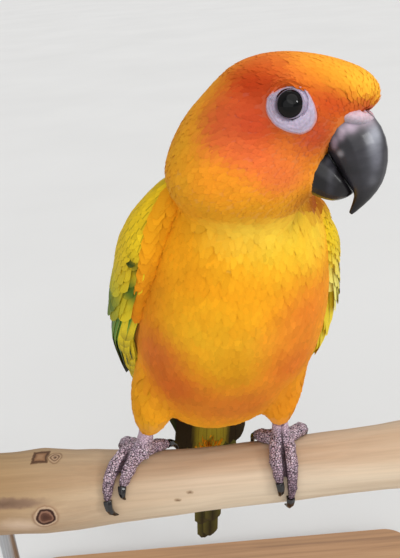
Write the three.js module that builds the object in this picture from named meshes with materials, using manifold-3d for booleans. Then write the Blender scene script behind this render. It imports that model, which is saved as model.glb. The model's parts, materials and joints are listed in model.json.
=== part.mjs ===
// A sun conure on a short cut branch: a still, life-size model on a plain display stand.
// Millimetres, +Z up. The chest faces -Y and the head is turned towards +X.
import * as THREE from "three";
import { mergeVertices } from "three/addons/utils/BufferGeometryUtils.js";
import Module from "manifold-3d";

const wasm = await Module();
wasm.setup();

// Driving dimensions. Places on the bird and the branch are given from the branch axis,
// which lies along X at PERCH_HEIGHT above the floor.
const GAP = 0.3;
const PERCH_HEIGHT = 108;
const PERCH_HALF_LENGTH = 95;
const BASE = { width: 190, front: -50, back: 70, thickness: 9, corner: 12 };
const ROD = { radius: 3, offset: 80 };
const BODY_YAW = 12;
const HEAD_YAW = 66;
const HEAD_NOD = 8;
const HEAD_TILT = -12;
const HEAD_CENTRE = [20, -40, 136];
const EYE = { forward: 8.4, up: 8.1, radius: 3.7, showing: 2.8 };
const EYE_RING_LOW = 0.4;

const LOOKS = {
  breast: { color: 0xe98a1c, roughness: 0.85, metalness: 0 },
  face: { color: 0xe8571c, roughness: 0.85, metalness: 0 },
  neck: { color: 0xe9a21c, roughness: 0.85, metalness: 0 },
  wing: { color: 0xe7b91a, roughness: 0.7, metalness: 0 },
  tail: { color: 0x4f5423, roughness: 0.7, metalness: 0 },
  thigh: { color: 0xe9921a, roughness: 0.85, metalness: 0 },
  bill: { color: 0x3a3a40, roughness: 0.45, metalness: 0 },
  lowerBill: { color: 0x26262b, roughness: 0.5, metalness: 0 },
  eye: { color: 0x17100e, roughness: 0.08, metalness: 0 },
  foot: { color: 0xa18a98, roughness: 0.65, metalness: 0 },
  claw: { color: 0x1d1a1e, roughness: 0.3, metalness: 0 },
  branch: { color: 0xcfae87, roughness: 0.75, metalness: 0 },
  base: { color: 0xb98d5e, roughness: 0.55, metalness: 0 },
  rod: { color: 0xb9bbbd, roughness: 0.3, metalness: 1 },
};

const radians = THREE.MathUtils.degToRad;
const point = (x, y, z) => new THREE.Vector3(x, y, z);

// A point plus any number of weighted directions.
function along(start, ...steps) {
  const result = start.clone();
  for (let i = 0; i < steps.length; i += 2) {
    result.addScaledVector(steps[i], steps[i + 1]);
  }
  return result;
}

// Reads a smooth row of numbers at a fraction of the way through a table of rows.
function rowAt(rows, fraction) {
  const place = THREE.MathUtils.clamp(fraction, 0, 1) * (rows.length - 1);
  const first = Math.min(Math.floor(place), rows.length - 2);
  const t = place - first;
  const pick = (i) => rows[THREE.MathUtils.clamp(i, 0, rows.length - 1)];
  const [a, b, c, d] = [pick(first - 1), pick(first), pick(first + 1), pick(first + 2)];
  return b.map((value, k) => {
    const rise = (c[k] - a[k]) / 2;
    const fall = (d[k] - value) / 2;
    const bend = 3 * (c[k] - value) - 2 * rise - fall;
    const turn = 2 * (value - c[k]) + rise + fall;
    return value + t * (rise + t * (bend + t * turn));
  });
}

function smoothRows(rows, count) {
  const result = [];
  for (let i = 0; i < count; i++) {
    result.push(rowAt(rows, i / (count - 1)));
  }
  return result;
}

// Closed surface through rings of equal count, with a fan over each end.
function loft(rings) {
  const count = rings[0].length;
  const positions = [];
  const triangles = [];
  rings.flat().forEach((p) => positions.push(p.x, p.y, p.z));
  for (let i = 0; i < rings.length - 1; i++) {
    for (let j = 0; j < count; j++) {
      const a = i * count + j;
      const b = i * count + ((j + 1) % count);
      triangles.push(a, b, b + count, a, b + count, a + count);
    }
  }
  [0, rings.length - 1].forEach((i) => {
    const middle = point(0, 0, 0);
    rings[i].forEach((p) => middle.addScaledVector(p, 1 / count));
    const tip = positions.length / 3;
    positions.push(middle.x, middle.y, middle.z);
    for (let j = 0; j < count; j++) {
      const a = i * count + j;
      const b = i * count + ((j + 1) % count);
      triangles.push(...(i === 0 ? [b, a, tip] : [a, b, tip]));
    }
  });
  const geometry = new THREE.BufferGeometry();
  geometry.setAttribute("position", new THREE.Float32BufferAttribute(positions, 3));
  geometry.setIndex(triangles);
  return turnOutward(geometry);
}

// Flips the triangles of a closed surface if they face inward.
function turnOutward(geometry) {
  const places = geometry.getAttribute("position");
  const index = geometry.getIndex();
  const corners = [point(0, 0, 0), point(0, 0, 0), point(0, 0, 0)];
  let volume = 0;
  for (let i = 0; i < index.count; i += 3) {
    corners.forEach((corner, k) => corner.fromBufferAttribute(places, index.getX(i + k)));
    volume += corners[0].dot(corners[1].clone().cross(corners[2]));
  }
  if (volume < 0) {
    for (let i = 0; i < index.count; i += 3) {
      const first = index.getX(i);
      index.setX(i, index.getX(i + 1));
      index.setX(i + 1, first);
    }
  }
  return geometry;
}

function toSolid(geometry) {
  const bare = new THREE.BufferGeometry();
  bare.setAttribute("position", geometry.getAttribute("position"));
  bare.setIndex(geometry.getIndex());
  const merged = mergeVertices(bare, 1e-4);
  return new wasm.Manifold(new wasm.Mesh({
    numProp: 3,
    vertProperties: new Float32Array(merged.getAttribute("position").array),
    triVerts: new Uint32Array(merged.getIndex().array),
  }));
}

const solidLoft = (rings) => toSolid(loft(rings));
const join = (solids) => solids.reduce((sum, solid) => sum.add(solid));
const clear = (solid, others) => others.reduce((rest, other) => rest.subtract(other), solid);

function largest(solid) {
  return solid.decompose().reduce((best, part) => (part.volume() > best.volume() ? part : best));
}

const group = new THREE.Group();
const bird = new THREE.Group();
bird.position.z = PERCH_HEIGHT;
group.add(bird);

function addPart(parent, name, solid, look) {
  const result = largest(solid).getMesh();
  const geometry = new THREE.BufferGeometry();
  geometry.setAttribute("position", new THREE.BufferAttribute(new Float32Array(result.vertProperties), 3));
  geometry.setIndex(new THREE.BufferAttribute(new Uint32Array(result.triVerts), 1));
  geometry.computeVertexNormals();
  const mesh = new THREE.Mesh(geometry, new THREE.MeshStandardMaterial(look));
  mesh.name = name;
  parent.add(mesh);
  return mesh;
}

// Squared-off oval ring, its depth ahead of the centre differing from that behind it.
function ovalRing(centre, side, front, half, ahead, behind, square, count) {
  const ring = [];
  for (let i = 0; i < count; i++) {
    const angle = (2 * Math.PI * i) / count;
    const c = Math.cos(angle);
    const s = Math.sin(angle);
    const u = Math.sign(c) * Math.abs(c) ** (2 / square) * half;
    const v = Math.sign(s) * Math.abs(s) ** (2 / square) * (s > 0 ? ahead : behind);
    ring.push(along(centre, side, u, front, v));
  }
  return ring;
}

const BODY_LEFT = point(Math.cos(radians(BODY_YAW)), Math.sin(radians(BODY_YAW)), 0);
const BODY_FRONT = point(Math.sin(radians(BODY_YAW)), -Math.cos(radians(BODY_YAW)), 0);

// Rings across a spine. Each row is x, y, z, half width, depth ahead, depth behind.
function spineRings(rows, options) {
  const { count, around, square = 2.2, grow = 0 } = options;
  const stations = smoothRows(rows, count);
  const centres = stations.map(([x, y, z]) => point(x, y, z));
  return stations.map(([, , , half, ahead, behind], i) => {
    const before = centres[Math.max(i - 1, 0)];
    const after = centres[Math.min(i + 1, count - 1)];
    const tangent = after.clone().sub(before).normalize();
    const side = along(BODY_LEFT, tangent, -BODY_LEFT.dot(tangent)).normalize();
    const front = tangent.clone().cross(side);
    if (front.dot(BODY_FRONT) < 0) {
      front.negate();
    }
    const end = (i === count - 1 ? grow : 0) - (i === 0 ? grow : 0);
    const centre = along(centres[i], tangent, end);
    return ovalRing(centre, side, front, half + grow, ahead + grow, behind + grow, square, around);
  });
}

// The torso, from the vent up to the base of the neck.
const TORSO_ROWS = [
  [1, 20, 18, 4, 4, 4],
  [1.5, 16, 25, 12, 10, 9],
  [3.4, 9, 35, 20.5, 17, 14],
  [5.8, 2, 48, 28, 22, 18],
  [8.2, -5, 66, 31.2, 26, 20],
  [10.4, -13, 84, 30.6, 27.5, 21],
  [12.2, -20, 99, 27.8, 26, 20.5],
  [14, -26, 111, 24.3, 22, 20],
  [16, -30, 119.5, 19, 17, 19],
  [17.6, -31.5, 126, 11, 9, 13],
];
const TORSO_SHAPE = { count: 18, around: 26, square: 2.15 };
const torso = solidLoft(spineRings(TORSO_ROWS, TORSO_SHAPE));
const torsoGrown = solidLoft(spineRings(TORSO_ROWS, { ...TORSO_SHAPE, grow: GAP }));

// The head frame: forward along the bill, left, and up through the crown.
function headFrame() {
  const yaw = radians(HEAD_YAW);
  const nod = radians(HEAD_NOD);
  const tilt = radians(HEAD_TILT);
  const forward = point(Math.sin(yaw) * Math.cos(nod), -Math.cos(yaw) * Math.cos(nod), -Math.sin(nod));
  const level = point(Math.cos(yaw), Math.sin(yaw), 0);
  const upright = level.clone().cross(forward).negate();
  if (upright.z < 0) {
    upright.negate();
  }
  const left = along(point(0, 0, 0), level, Math.cos(tilt), upright, Math.sin(tilt));
  const up = along(point(0, 0, 0), level, -Math.sin(tilt), upright, Math.cos(tilt));
  return { forward, left, up, centre: point(...HEAD_CENTRE) };
}
const HEAD = headFrame();
const onHead = (f, l, u) => along(HEAD.centre, HEAD.forward, f, HEAD.left, l, HEAD.up, u);

// Head and neck as one form. Each row is height, back, front, half width and how far
// the section is shifted to the head's left, which is where the turned neck comes from.
const HEAD_ROWS = [
  [-24.5, -15.5, 5, 13, 8],
  [-22, -19.4, 8, 16.6, 4.6],
  [-19.4, -21.8, 10.6, 18, 2.4],
  [-16, -23, 12.6, 18.6, 0.8],
  [-12, -23.6, 14.2, 18.7, 0],
  [-6, -22.8, 16.2, 18.6, 0],
  [0, -20.8, 18.8, 18, 0],
  [5, -18, 22.2, 16.9, 0],
  [9.3, -15, 25, 15.4, 0],
  [13.6, -10.8, 24, 12.8, 0],
  [16.8, -5.6, 20, 9.4, 0],
  [18.5, 0, 14.5, 5.2, 0],
  [19, 4.5, 10, 2, 0],
];
const HEAD_TAPER = 0.2;
const HEAD_SHAPE = { count: 22, around: 24, square: 2.1 };

function headRings(grow = 0) {
  return smoothRows(HEAD_ROWS, HEAD_SHAPE.count).map(([up, back, front, half, shift], i) => {
    const last = HEAD_SHAPE.count - 1;
    const level = up + (i === last ? grow : 0) - (i === 0 ? grow : 0);
    const centre = onHead((back + front) / 2, shift, level);
    const reach = (front - back) / 2 + grow;
    return ovalRing(centre, HEAD.left, HEAD.forward, half + grow,
      reach, reach, HEAD_SHAPE.square, HEAD_SHAPE.around).map((p) => {
      const offset = p.clone().sub(centre);
      const narrow = 1 - HEAD_TAPER * (offset.dot(HEAD.forward) / reach);
      const across = offset.dot(HEAD.left);
      return along(p, HEAD.left, across * (narrow - 1));
    });
  });
}

// Distance from the middle plane to the head's side at a place on the face.
function headSideAt(forward, up) {
  const spread = smoothRows(HEAD_ROWS, 200).reduce((best, row) => (
    Math.abs(row[0] - up) < Math.abs(best[0] - up) ? row : best));
  const [, back, front, half] = spread;
  const run = (forward - (back + front) / 2) / ((front - back) / 2);
  const power = HEAD_SHAPE.square;
  return half * (1 - Math.abs(run) ** power) ** (1 / power) * (1 - HEAD_TAPER * run);
}

function headNormalAt(forward, up, side) {
  const step = 0.6;
  const slopeForward = (headSideAt(forward + step, up) - headSideAt(forward - step, up)) / (2 * step);
  const slopeUp = (headSideAt(forward, up + step) - headSideAt(forward, up - step)) / (2 * step);
  return along(point(0, 0, 0), HEAD.left, side, HEAD.forward, -slopeForward, HEAD.up, -slopeUp).normalize();
}

// A stretched ball whose short axis lies along a given direction.
function ball(centre, thick, longAxis, long, short, outward, around, rows) {
  const sphere = new THREE.SphereGeometry(1, around, rows);
  const zAxis = outward.clone().normalize();
  const xAxis = along(longAxis, zAxis, -longAxis.dot(zAxis)).normalize();
  const yAxis = zAxis.clone().cross(xAxis);
  const frame = new THREE.Matrix4().makeBasis(
    xAxis.multiplyScalar(long), yAxis.multiplyScalar(short), zAxis.multiplyScalar(thick));
  frame.setPosition(centre);
  sphere.applyMatrix4(frame);
  return toSolid(sphere);
}

// The bare ring and the lid's edge as one turned profile: radius and height over the face.
const EYE_RING_PROFILE = [
  [0, -2],
  [5.6, -2],
  [6.2, -0.4],
  [5.2, 0.35],
  [3.7, 0.45],
  [3.4, 1],
  [2.9, 1],
  [2.6, 0],
  [0, 0],
];

// One eye with the bare ring round it, drawn out to a corner behind the eye.
function eyeSet(side) {
  const reach = headSideAt(EYE.forward, EYE.up);
  const outward = headNormalAt(EYE.forward, EYE.up, side);
  const surface = onHead(EYE.forward, side * reach, EYE.up);
  const depth = Math.sqrt(EYE.radius ** 2 - EYE.showing ** 2);
  const centre = along(surface, outward, 0.5 - depth);
  const profile = EYE_RING_PROFILE.map(([radius, height]) => new THREE.Vector2(radius, height));
  const ring = new THREE.LatheGeometry(profile, 18);
  ring.applyQuaternion(new THREE.Quaternion().setFromUnitVectors(point(0, 1, 0), outward));
  ring.translate(...along(surface, HEAD.up, -EYE_RING_LOW).toArray());
  const corner = ball(along(surface, outward, -0.4, HEAD.forward, -5.2, HEAD.up, 1), 0.8, HEAD.forward,
    2.6, 1.8, outward, 10, 4);
  const socket = ball(centre, EYE.radius + GAP, HEAD.forward, EYE.radius + GAP, EYE.radius + GAP,
    outward, 14, 8);
  const eyeball = ball(centre, EYE.radius, HEAD.forward, EYE.radius, EYE.radius, outward, 14, 8);
  return { raised: [toSolid(turnOutward(ring)), corner], socket, eyeball };
}

// The bill. Each row is ridge forward, ridge up, edge forward, edge up, half width.
const UPPER_BILL_ROWS = [
  [17, 9.6, 9, 1.5, 7.6],
  [21.4, 8.9, 12.4, 0.2, 7.7],
  [25.4, 6.4, 15.4, -2, 7.4],
  [28.2, 2.4, 17.6, -4.6, 6.8],
  [29.4, -2.2, 19.6, -7, 5.9],
  [29.2, -6.6, 21.8, -9, 4.6],
  [27.8, -10.2, 23.2, -10.6, 3],
  [25.6, -13.4, 23.2, -12.8, 1.7],
  [23.6, -15.8, 22.8, -15.2, 0.6],
];
const LOWER_BILL_ROWS = [
  [7.4, 0.4, 8, -10.8, 5.8],
  [13, 0, 12.2, -12.2, 6.6],
  [17.4, -2.6, 15.6, -13, 6.4],
  [20.8, -5.8, 18.4, -13.2, 5.4],
  [22.6, -8.8, 20.4, -12.6, 3.8],
  [23, -10.6, 21.8, -11.8, 2],
];

function billRings(rows, count, around, ridge, grow = 0) {
  return smoothRows(rows, count).map(([topF, topU, lowF, lowU, half], i) => {
    const top = onHead(topF, 0, topU);
    const low = onHead(lowF, 0, lowU);
    const centre = top.clone().add(low).multiplyScalar(0.5);
    const rise = top.clone().sub(low).normalize();
    const reach = top.distanceTo(low) / 2 + grow;
    const ring = ovalRing(centre, HEAD.left, rise, half + grow, reach, reach, 2.2, around);
    return ring.map((p) => {
      const offset = p.clone().sub(centre);
      const pinch = ridge * Math.max(0, offset.dot(rise) / reach);
      return along(p, HEAD.left, -offset.dot(HEAD.left) * pinch);
    });
  });
}

// A raised, swollen cere over the root of the upper bill, with a nostril on each side.
function cereAndNostrils() {
  const raised = ball(onHead(20.6, 0, 7.2), 3.4, HEAD.forward, 3.3, 6.6, HEAD.up, 18, 8);
  const pits = [-1, 1].map((side) => {
    const outward = along(point(0, 0, 0), HEAD.up, 0.55, HEAD.forward, 0.5, HEAD.left, side * 0.5);
    return ball(onHead(22.3, side * 3.5, 8.6), 1.1, HEAD.left, 0.9, 0.9, outward, 8, 6);
  });
  return { raised, pits };
}

const headForm = solidLoft(headRings());
const headFormGrown = solidLoft(headRings(GAP));
const upperBillForm = solidLoft(billRings(UPPER_BILL_ROWS, 15, 18, 0.35));
const upperBillGrown = solidLoft(billRings(UPPER_BILL_ROWS, 15, 18, 0.35, GAP));
const lowerBillForm = solidLoft(billRings(LOWER_BILL_ROWS, 9, 14, 0));
const lowerBillGrown = solidLoft(billRings(LOWER_BILL_ROWS, 9, 14, 0, GAP));

// The neck parts from the head along a slanted plane below the cheek and the bill.
const NECK_TOP = -12;
const neckNormal = along(point(0, 0, 0), HEAD.up, 0.97, HEAD.forward, 0.22).normalize();
const neckOffset = neckNormal.dot(onHead(0, 0, NECK_TOP));
const cut = neckNormal.toArray();
const opposite = neckNormal.clone().negate().toArray();

const eyes = { left: eyeSet(1), right: eyeSet(-1) };
const cere = cereAndNostrils();
let head = join([headForm, cere.raised, ...eyes.left.raised, ...eyes.right.raised]);
head = clear(head, [eyes.left.socket, eyes.right.socket, ...cere.pits]);
head = clear(head.trimByPlane(cut, neckOffset + GAP / 2), [torsoGrown, lowerBillGrown, upperBillGrown]);
const neck = clear(headForm.trimByPlane(opposite, GAP / 2 - neckOffset), [torsoGrown, lowerBillGrown]);

addPart(bird, "torso", torso, LOOKS.breast);
addPart(bird, "neck", neck, LOOKS.neck);
addPart(bird, "head", head, LOOKS.face);
addPart(bird, "bill_upper", upperBillForm, LOOKS.bill);
addPart(bird, "bill_lower", clear(lowerBillForm, [upperBillGrown]), LOOKS.lowerBill);
addPart(bird, "eye_left", eyes.left.eyeball, LOOKS.eye);
addPart(bird, "eye_right", eyes.right.eyeball, LOOKS.eye);

// Thighs: feathered drops from the flank to the top of each foot.
const THIGH_RIGHT_ROWS = [
  [-10, -8, 62, 5, 5, 5],
  [-14.4, -9.4, 55, 8.4, 9, 9],
  [-17.2, -8.4, 45, 8.4, 9.6, 9.4],
  [-19.2, -6, 36, 7, 8, 8],
  [-20.8, -3.4, 30, 5, 5.6, 5.6],
  [-22, -2, 26.5, 3.4, 3.8, 3.8],
];
const THIGH_LEFT_ROWS = [
  [23, -3, 62, 5, 5, 5],
  [25, -5, 55, 8.4, 9, 9],
  [25, -5.6, 46, 8.6, 9.6, 9.4],
  [24.4, -4.6, 37, 7.4, 8.2, 8],
  [24.4, -2.8, 29, 5, 5.6, 5.6],
  [24.8, -1.8, 25, 3.2, 3.6, 3.6],
];
const THIGH_SHAPE = { count: 12, around: 20, square: 2.1 };
const thighForms = {
  right: solidLoft(spineRings(THIGH_RIGHT_ROWS, THIGH_SHAPE)),
  left: solidLoft(spineRings(THIGH_LEFT_ROWS, THIGH_SHAPE)),
};
const thighsGrown = [THIGH_RIGHT_ROWS, THIGH_LEFT_ROWS].map((rows) => (
  solidLoft(spineRings(rows, { ...THIGH_SHAPE, grow: GAP }))));

// A flat feather blade has five points round it: two below, one on each edge and the shaft.
// Each station of its outline is a fraction of the length and of the full width.
const SHORT_OUTLINE = [[0, 0.7], [0.45, 1], [0.8, 0.86], [1, 0.3]];
const LONG_OUTLINE = [[0, 0.6], [0.3, 0.95], [0.65, 1], [0.88, 0.78], [1, 0.22]];
const TAIL_OUTLINE = [[0, 0.6], [0.45, 1], [0.88, 0.76], [1, 0.24]];
const SHAFT_RIDGE = 0.2;
const mix = THREE.MathUtils.lerp;

// The tail hangs from the rump down behind the branch. Rows as for the torso.
const TAIL_ROWS = [
  [2.2, 12, 42, 9, 4.5, 4.5],
  [1.2, 18, 26, 12, 5, 5.6],
  [0.2, 23.5, 10, 10.5, 3.6, 4],
  [-1, 29.8, -8, 6.5, 2, 2],
];
const TAIL_SHAPE = { count: 8, around: 12, square: 2.3 };
const TAIL_ROOT = point(1, 19, 24);
const TAIL_TIP = point(-6.2, 64, -90);
const TAIL_LENGTH = TAIL_ROOT.distanceTo(TAIL_TIP);
const TAIL_AXIS = TAIL_TIP.clone().sub(TAIL_ROOT).normalize();
const TAIL_LEFT = along(BODY_LEFT, TAIL_AXIS, -BODY_LEFT.dot(TAIL_AXIS)).normalize();
const TAIL_BACK = TAIL_LEFT.clone().cross(TAIL_AXIS);
if (TAIL_BACK.y < 0) {
  TAIL_BACK.negate();
}
// Six pairs of tail feathers, from the long middle pair out to the short outer one.
// Each pair is its length as a share of the tail's, its distance from the middle at the
// root and at the tip, and its width.
const TAIL_PAIRS = [
  { share: 1, root: 1.2, tip: 1.5, width: 7.4 },
  { share: 0.87, root: 2, tip: 2.6, width: 7.8 },
  { share: 0.74, root: 2.8, tip: 3.8, width: 8 },
  { share: 0.62, root: 3.8, tip: 5.2, width: 8 },
  { share: 0.52, root: 4.8, tip: 6.6, width: 7.8 },
  { share: 0.43, root: 5.8, tip: 8, width: 7.4 },
];
const TAIL_STEP = 0.85;
const TAIL_THICKNESS = 1.15;

// A blade on the tail: distances down it, places across it, the height of its upper face.
function tailVane({ from, to, root, tip, width, top, topAtTip = top, thick, outline }, grow) {
  return outline.map(([u, share], i) => {
    const ends = (i === outline.length - 1 ? grow : 0) - (i === 0 ? grow : 0);
    const middle = along(TAIL_ROOT, TAIL_AXIS, mix(from, to, u) + ends, TAIL_LEFT, mix(root, tip, u));
    const half = (width / 2) * share + grow;
    const upper = mix(top, topAtTip, u) + grow;
    const lower = mix(top, topAtTip, u) - thick * mix(1, 0.7, u) - grow;
    const edge = upper - SHAFT_RIDGE;
    const under = half * 0.9;
    const corners = [[-half, edge], [0, upper], [half, edge], [under, lower], [-under, lower]];
    return corners.map(([across, height]) => along(middle, TAIL_LEFT, across, TAIL_BACK, height));
  });
}

function tailVanes() {
  const vanes = [];
  TAIL_PAIRS.forEach(({ share, root, tip, width }, pair) => {
    [1, -1].forEach((side) => {
      // The left feather of each pair lies a little under the right one and ends a little sooner.
      const lower = side > 0 ? 0.38 : 0;
      const top = 2.7 - pair * TAIL_STEP - lower;
      const to = TAIL_LENGTH * share - 3 * lower;
      vanes.push({ from: -2, to, root: side * root, tip: side * tip + 0.23,
        width, top, topAtTip: top * mix(0.4, 1, pair / 5), thick: TAIL_THICKNESS, outline: TAIL_OUTLINE });
    });
  });
  // Coverts over and under the root of the tail.
  for (let i = -2; i <= 2; i++) {
    const short = Math.abs(i) * 3;
    vanes.push({ from: -14, to: 26 - short, root: i * 3 + 0.2, tip: i * 3.6 - 0.3, width: 7.5,
      top: 3.2, topAtTip: 4.6 - Math.abs(i) * 0.5, thick: 2.4, outline: SHORT_OUTLINE });
    vanes.push({ from: -6, to: 32 - short * 1.5, root: i * 3.6, tip: i * 3.4, width: 7.8,
      top: -2.2, topAtTip: -2.4 + Math.abs(i) * 0.4, thick: 2.6, outline: SHORT_OUTLINE });
  }
  return vanes;
}

const buildTail = (grow) => join([
  solidLoft(spineRings(TAIL_ROWS, { ...TAIL_SHAPE, grow })),
  ...tailVanes().map((vane) => solidLoft(tailVane(vane, grow))),
]);
const tail = clear(buildTail(0), [torsoGrown]);
const tailGrown = buildTail(GAP);

// The line that the folded wings lie beside, from the shoulders down to the tail.
const BACK_AXIS_ROWS = [
  [128, 14.5, -33],
  [108, 12.5, -25],
  [88, 10.2, -15],
  [68, 8.2, -6],
  [48, 5.8, 2],
  [28, 1.8, 14],
  [8, 0.2, 24],
  [-12, -1.4, 31.5],
  [-32, -2.6, 39.5],
];
// Each row is height, front edge out and forward, rear edge out and forward, bulge, thickness.
const WING_ROWS = [
  [120, 16, 1, 9, -8, 5, 3],
  [114, 23.5, 4.5, 6, -14.5, 9, 5],
  [105, 28.2, 7.5, 4.4, -19.5, 12, 6],
  [94, 30.4, 7.8, 2.8, -23.5, 13.5, 7],
  [81, 33, 6, 2, -25, 14, 8],
  [65, 33.8, 3, 1.6, -24.5, 13.5, 8],
  [48, 31, -1, 1.4, -22, 12, 7],
  [30, 24, -5, 1.2, -18, 8.5, 4.5],
  [12, 16.5, -7, 1.2, -14.5, 5, 2],
  [-6, 10.6, -7.4, 1.2, -11, 3, 1.2],
  [-25, 4.4, -7.6, 1.6, -9.4, 1.2, 0.8],
];
// The bird leans a little to its left, so its right wing sits higher and its left one lower.
const WING_LIFT = 4;
// The core under the feathers: how far it stays below their surface and where it ends.
const WING_CORE = { count: 12, around: 12, sunk: 0.9, end: 0.86 };

function backAxisAt(height) {
  const fraction = (BACK_AXIS_ROWS[0][0] - height) / (BACK_AXIS_ROWS[0][0] - BACK_AXIS_ROWS.at(-1)[0]);
  const [, x, y] = rowAt(BACK_AXIS_ROWS, fraction);
  return point(x, y, height);
}

// A wing's cross-section at a fraction of its length: its two edges and its outward direction.
function wingSection(side, fraction) {
  const [height, outF, aheadF, outR, aheadR, bulge, depth] = rowAt(WING_ROWS, fraction);
  const axis = backAxisAt(height);
  axis.z -= side * WING_LIFT;
  const front = along(axis, BODY_LEFT, side * outF, BODY_FRONT, aheadF);
  const rear = along(axis, BODY_LEFT, side * outR, BODY_FRONT, aheadR);
  const middle = front.clone().add(rear).multiplyScalar(0.5);
  const half = front.clone().sub(rear).multiplyScalar(0.5);
  const outward = along(point(0, 0, 0), BODY_LEFT, side * half.dot(BODY_FRONT),
    BODY_FRONT, -side * half.dot(BODY_LEFT)).normalize();
  return { middle, half, outward, bulge, depth };
}

// A point on the wing: along it, across it from the front edge to the rear, and over it.
function onWing(side, lengthwise, across, rise) {
  const { middle, half, outward, bulge } = wingSection(side, lengthwise);
  const c = Math.cos(Math.PI * across);
  const s = Math.sin(Math.PI * across);
  const normal = along(point(0, 0, 0), half, c / half.lengthSq(), outward, s / bulge).normalize();
  return along(middle, half, c, outward, bulge * s, normal, rise);
}

function wingCoreRings(side, grow) {
  const rings = [];
  for (let i = 0; i < WING_CORE.count; i++) {
    const place = (WING_CORE.end * i) / (WING_CORE.count - 1);
    const { middle, half, outward, bulge, depth } = wingSection(side, place);
    const offset = grow - WING_CORE.sunk;
    const reach = half.length() + offset;
    rings.push(ovalRing(middle, half.normalize(), outward, Math.max(reach, 1),
      Math.max(bulge + offset, 0.5), depth + grow, 2, WING_CORE.around));
  }
  return rings;
}

// Wing feathers lie in tiers, the upper over the roots of the lower. Each tier is its count,
// its roots and tips along the wing, its first and last place across, and the feather width.
const COVERT_TIERS = [
  { count: 5, root: 0.05, tip: 0.21, from: 0.18, to: 0.82, width: 12, outline: SHORT_OUTLINE },
  { count: 5, root: 0.15, tip: 0.33, from: 0.12, to: 0.84, width: 11.5, outline: SHORT_OUTLINE },
  { count: 6, root: 0.26, tip: 0.46, from: 0.13, to: 0.85, width: 11.5, outline: SHORT_OUTLINE },
  { count: 6, root: 0.38, tip: 0.6, from: 0.12, to: 0.86, width: 11, outline: SHORT_OUTLINE },
  { count: 5, root: 0.48, tip: 0.74, from: 0.4, to: 0.88, width: 10, outline: SHORT_OUTLINE },
];
const COVERT_RISE = { root: 0.1, tip: 1.1, deep: 1.6, tilt: 0.22 };
// The long outer flight feathers, from the front edge inward, with their tips along the wing.
const PRIMARY_TIPS = [1, 0.965, 0.925, 0.88, 0.83, 0.775];
const PRIMARY = { root: 0.47, width: 7.2, thick: 0.9 };

// A short feather that follows the wing's own curve.
function covertVane(side, { root, tip, across, bend, width, outline }, grow) {
  return outline.map(([u, share]) => {
    const place = mix(root, tip, u);
    const middle = across + bend * u;
    const step = 0.01;
    const before = onWing(side, place, middle - step, 0);
    const scale = onWing(side, place, middle + step, 0).distanceTo(before) / (2 * step);
    const reach = ((width / 2) * share + grow) / scale;
    const top = mix(COVERT_RISE.root, COVERT_RISE.tip, u) + grow;
    const { tilt, deep } = COVERT_RISE;
    return [
      onWing(side, place, middle - reach, top + tilt),
      onWing(side, place, middle, top + SHAFT_RIDGE),
      onWing(side, place, middle + reach, top - tilt),
      onWing(side, place, middle + reach, -deep - grow),
      onWing(side, place, middle - reach, -deep - grow),
    ];
  });
}

// A long straight blade that runs on past the end of the core.
function primaryVane(side, { tip, order }, grow) {
  return LONG_OUTLINE.map(([u, share]) => {
    const place = mix(PRIMARY.root, tip, u);
    const { middle, half, outward, bulge } = wingSection(side, place);
    const across = mix(0.1 + order * 0.07, 0.42 + order * 0.035, u);
    const sunk = mix(-1.6, 0, Math.min(1, u * 2.5)) + (order - 5) * 0.22;
    const height = bulge * Math.sin(Math.PI * across) + sunk;
    const centre = along(middle, half, Math.cos(Math.PI * across), outward, height);
    const direction = half.clone().normalize();
    const reach = (PRIMARY.width / 2) * share + grow;
    const lower = -PRIMARY.thick - grow;
    return [[reach, grow], [0, SHAFT_RIDGE + grow], [-reach, grow], [-reach, lower], [reach, lower]]
      .map(([sideways, rise]) => along(centre, direction, sideways, outward, rise));
  });
}

function buildWing(side, grow) {
  const pieces = [solidLoft(wingCoreRings(side, grow))];
  PRIMARY_TIPS.forEach((tip, order) => {
    pieces.push(solidLoft(primaryVane(side, { tip, order }, grow)));
  });
  COVERT_TIERS.forEach((tier) => {
    for (let i = 0; i < tier.count; i++) {
      const across = mix(tier.from, tier.to, i / (tier.count - 1));
      const late = 0.012 * ((i * 7) % 3) - 0.012;
      const bend = 0.06 * (0.5 - across);
      pieces.push(solidLoft(covertVane(side, { ...tier, tip: tier.tip + late, across, bend }, grow)));
    }
  });
  return join(pieces);
}

const aroundWings = [torsoGrown, headFormGrown, tailGrown, ...thighsGrown];
const leftWing = clear(buildWing(1, 0), aroundWings);
const rightWing = clear(buildWing(-1, 0), aroundWings);
addPart(bird, "wing_left", leftWing, LOOKS.wing);
addPart(bird, "wing_right", rightWing, LOOKS.wing);
addPart(bird, "thigh_left", clear(thighForms.left, [torsoGrown]), LOOKS.thigh);
addPart(bird, "thigh_right", clear(thighForms.right, [torsoGrown]), LOOKS.thigh);
addPart(bird, "tail", tail, LOOKS.tail);

// The branch. Each row is x, height of its middle, radius.
const PERCH_ROWS = [
  [-95, 3, 14.2],
  [-76, 2.4, 14.5],
  [-57, 1.2, 14.9],
  [-38, 1, 13.2],
  [-19, 0.6, 11.9],
  [0, 1.2, 11.4],
  [19, 2.1, 11.2],
  [38, 3, 11.4],
  [57, 3.8, 11.8],
  [76, 4.6, 12.1],
  [95, 5.4, 12.3],
];
// Each knot is its place along the branch, its angle round it, its height and its spread.
const KNOTS = [
  { x: -61, angle: -30, rise: 1.1, spread: 6 },
  { x: -60, angle: 82, rise: 1.5, spread: 8 },
];
const perchRowAt = (x) => rowAt(PERCH_ROWS, (x + PERCH_HALF_LENGTH) / (2 * PERCH_HALF_LENGTH));

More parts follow.
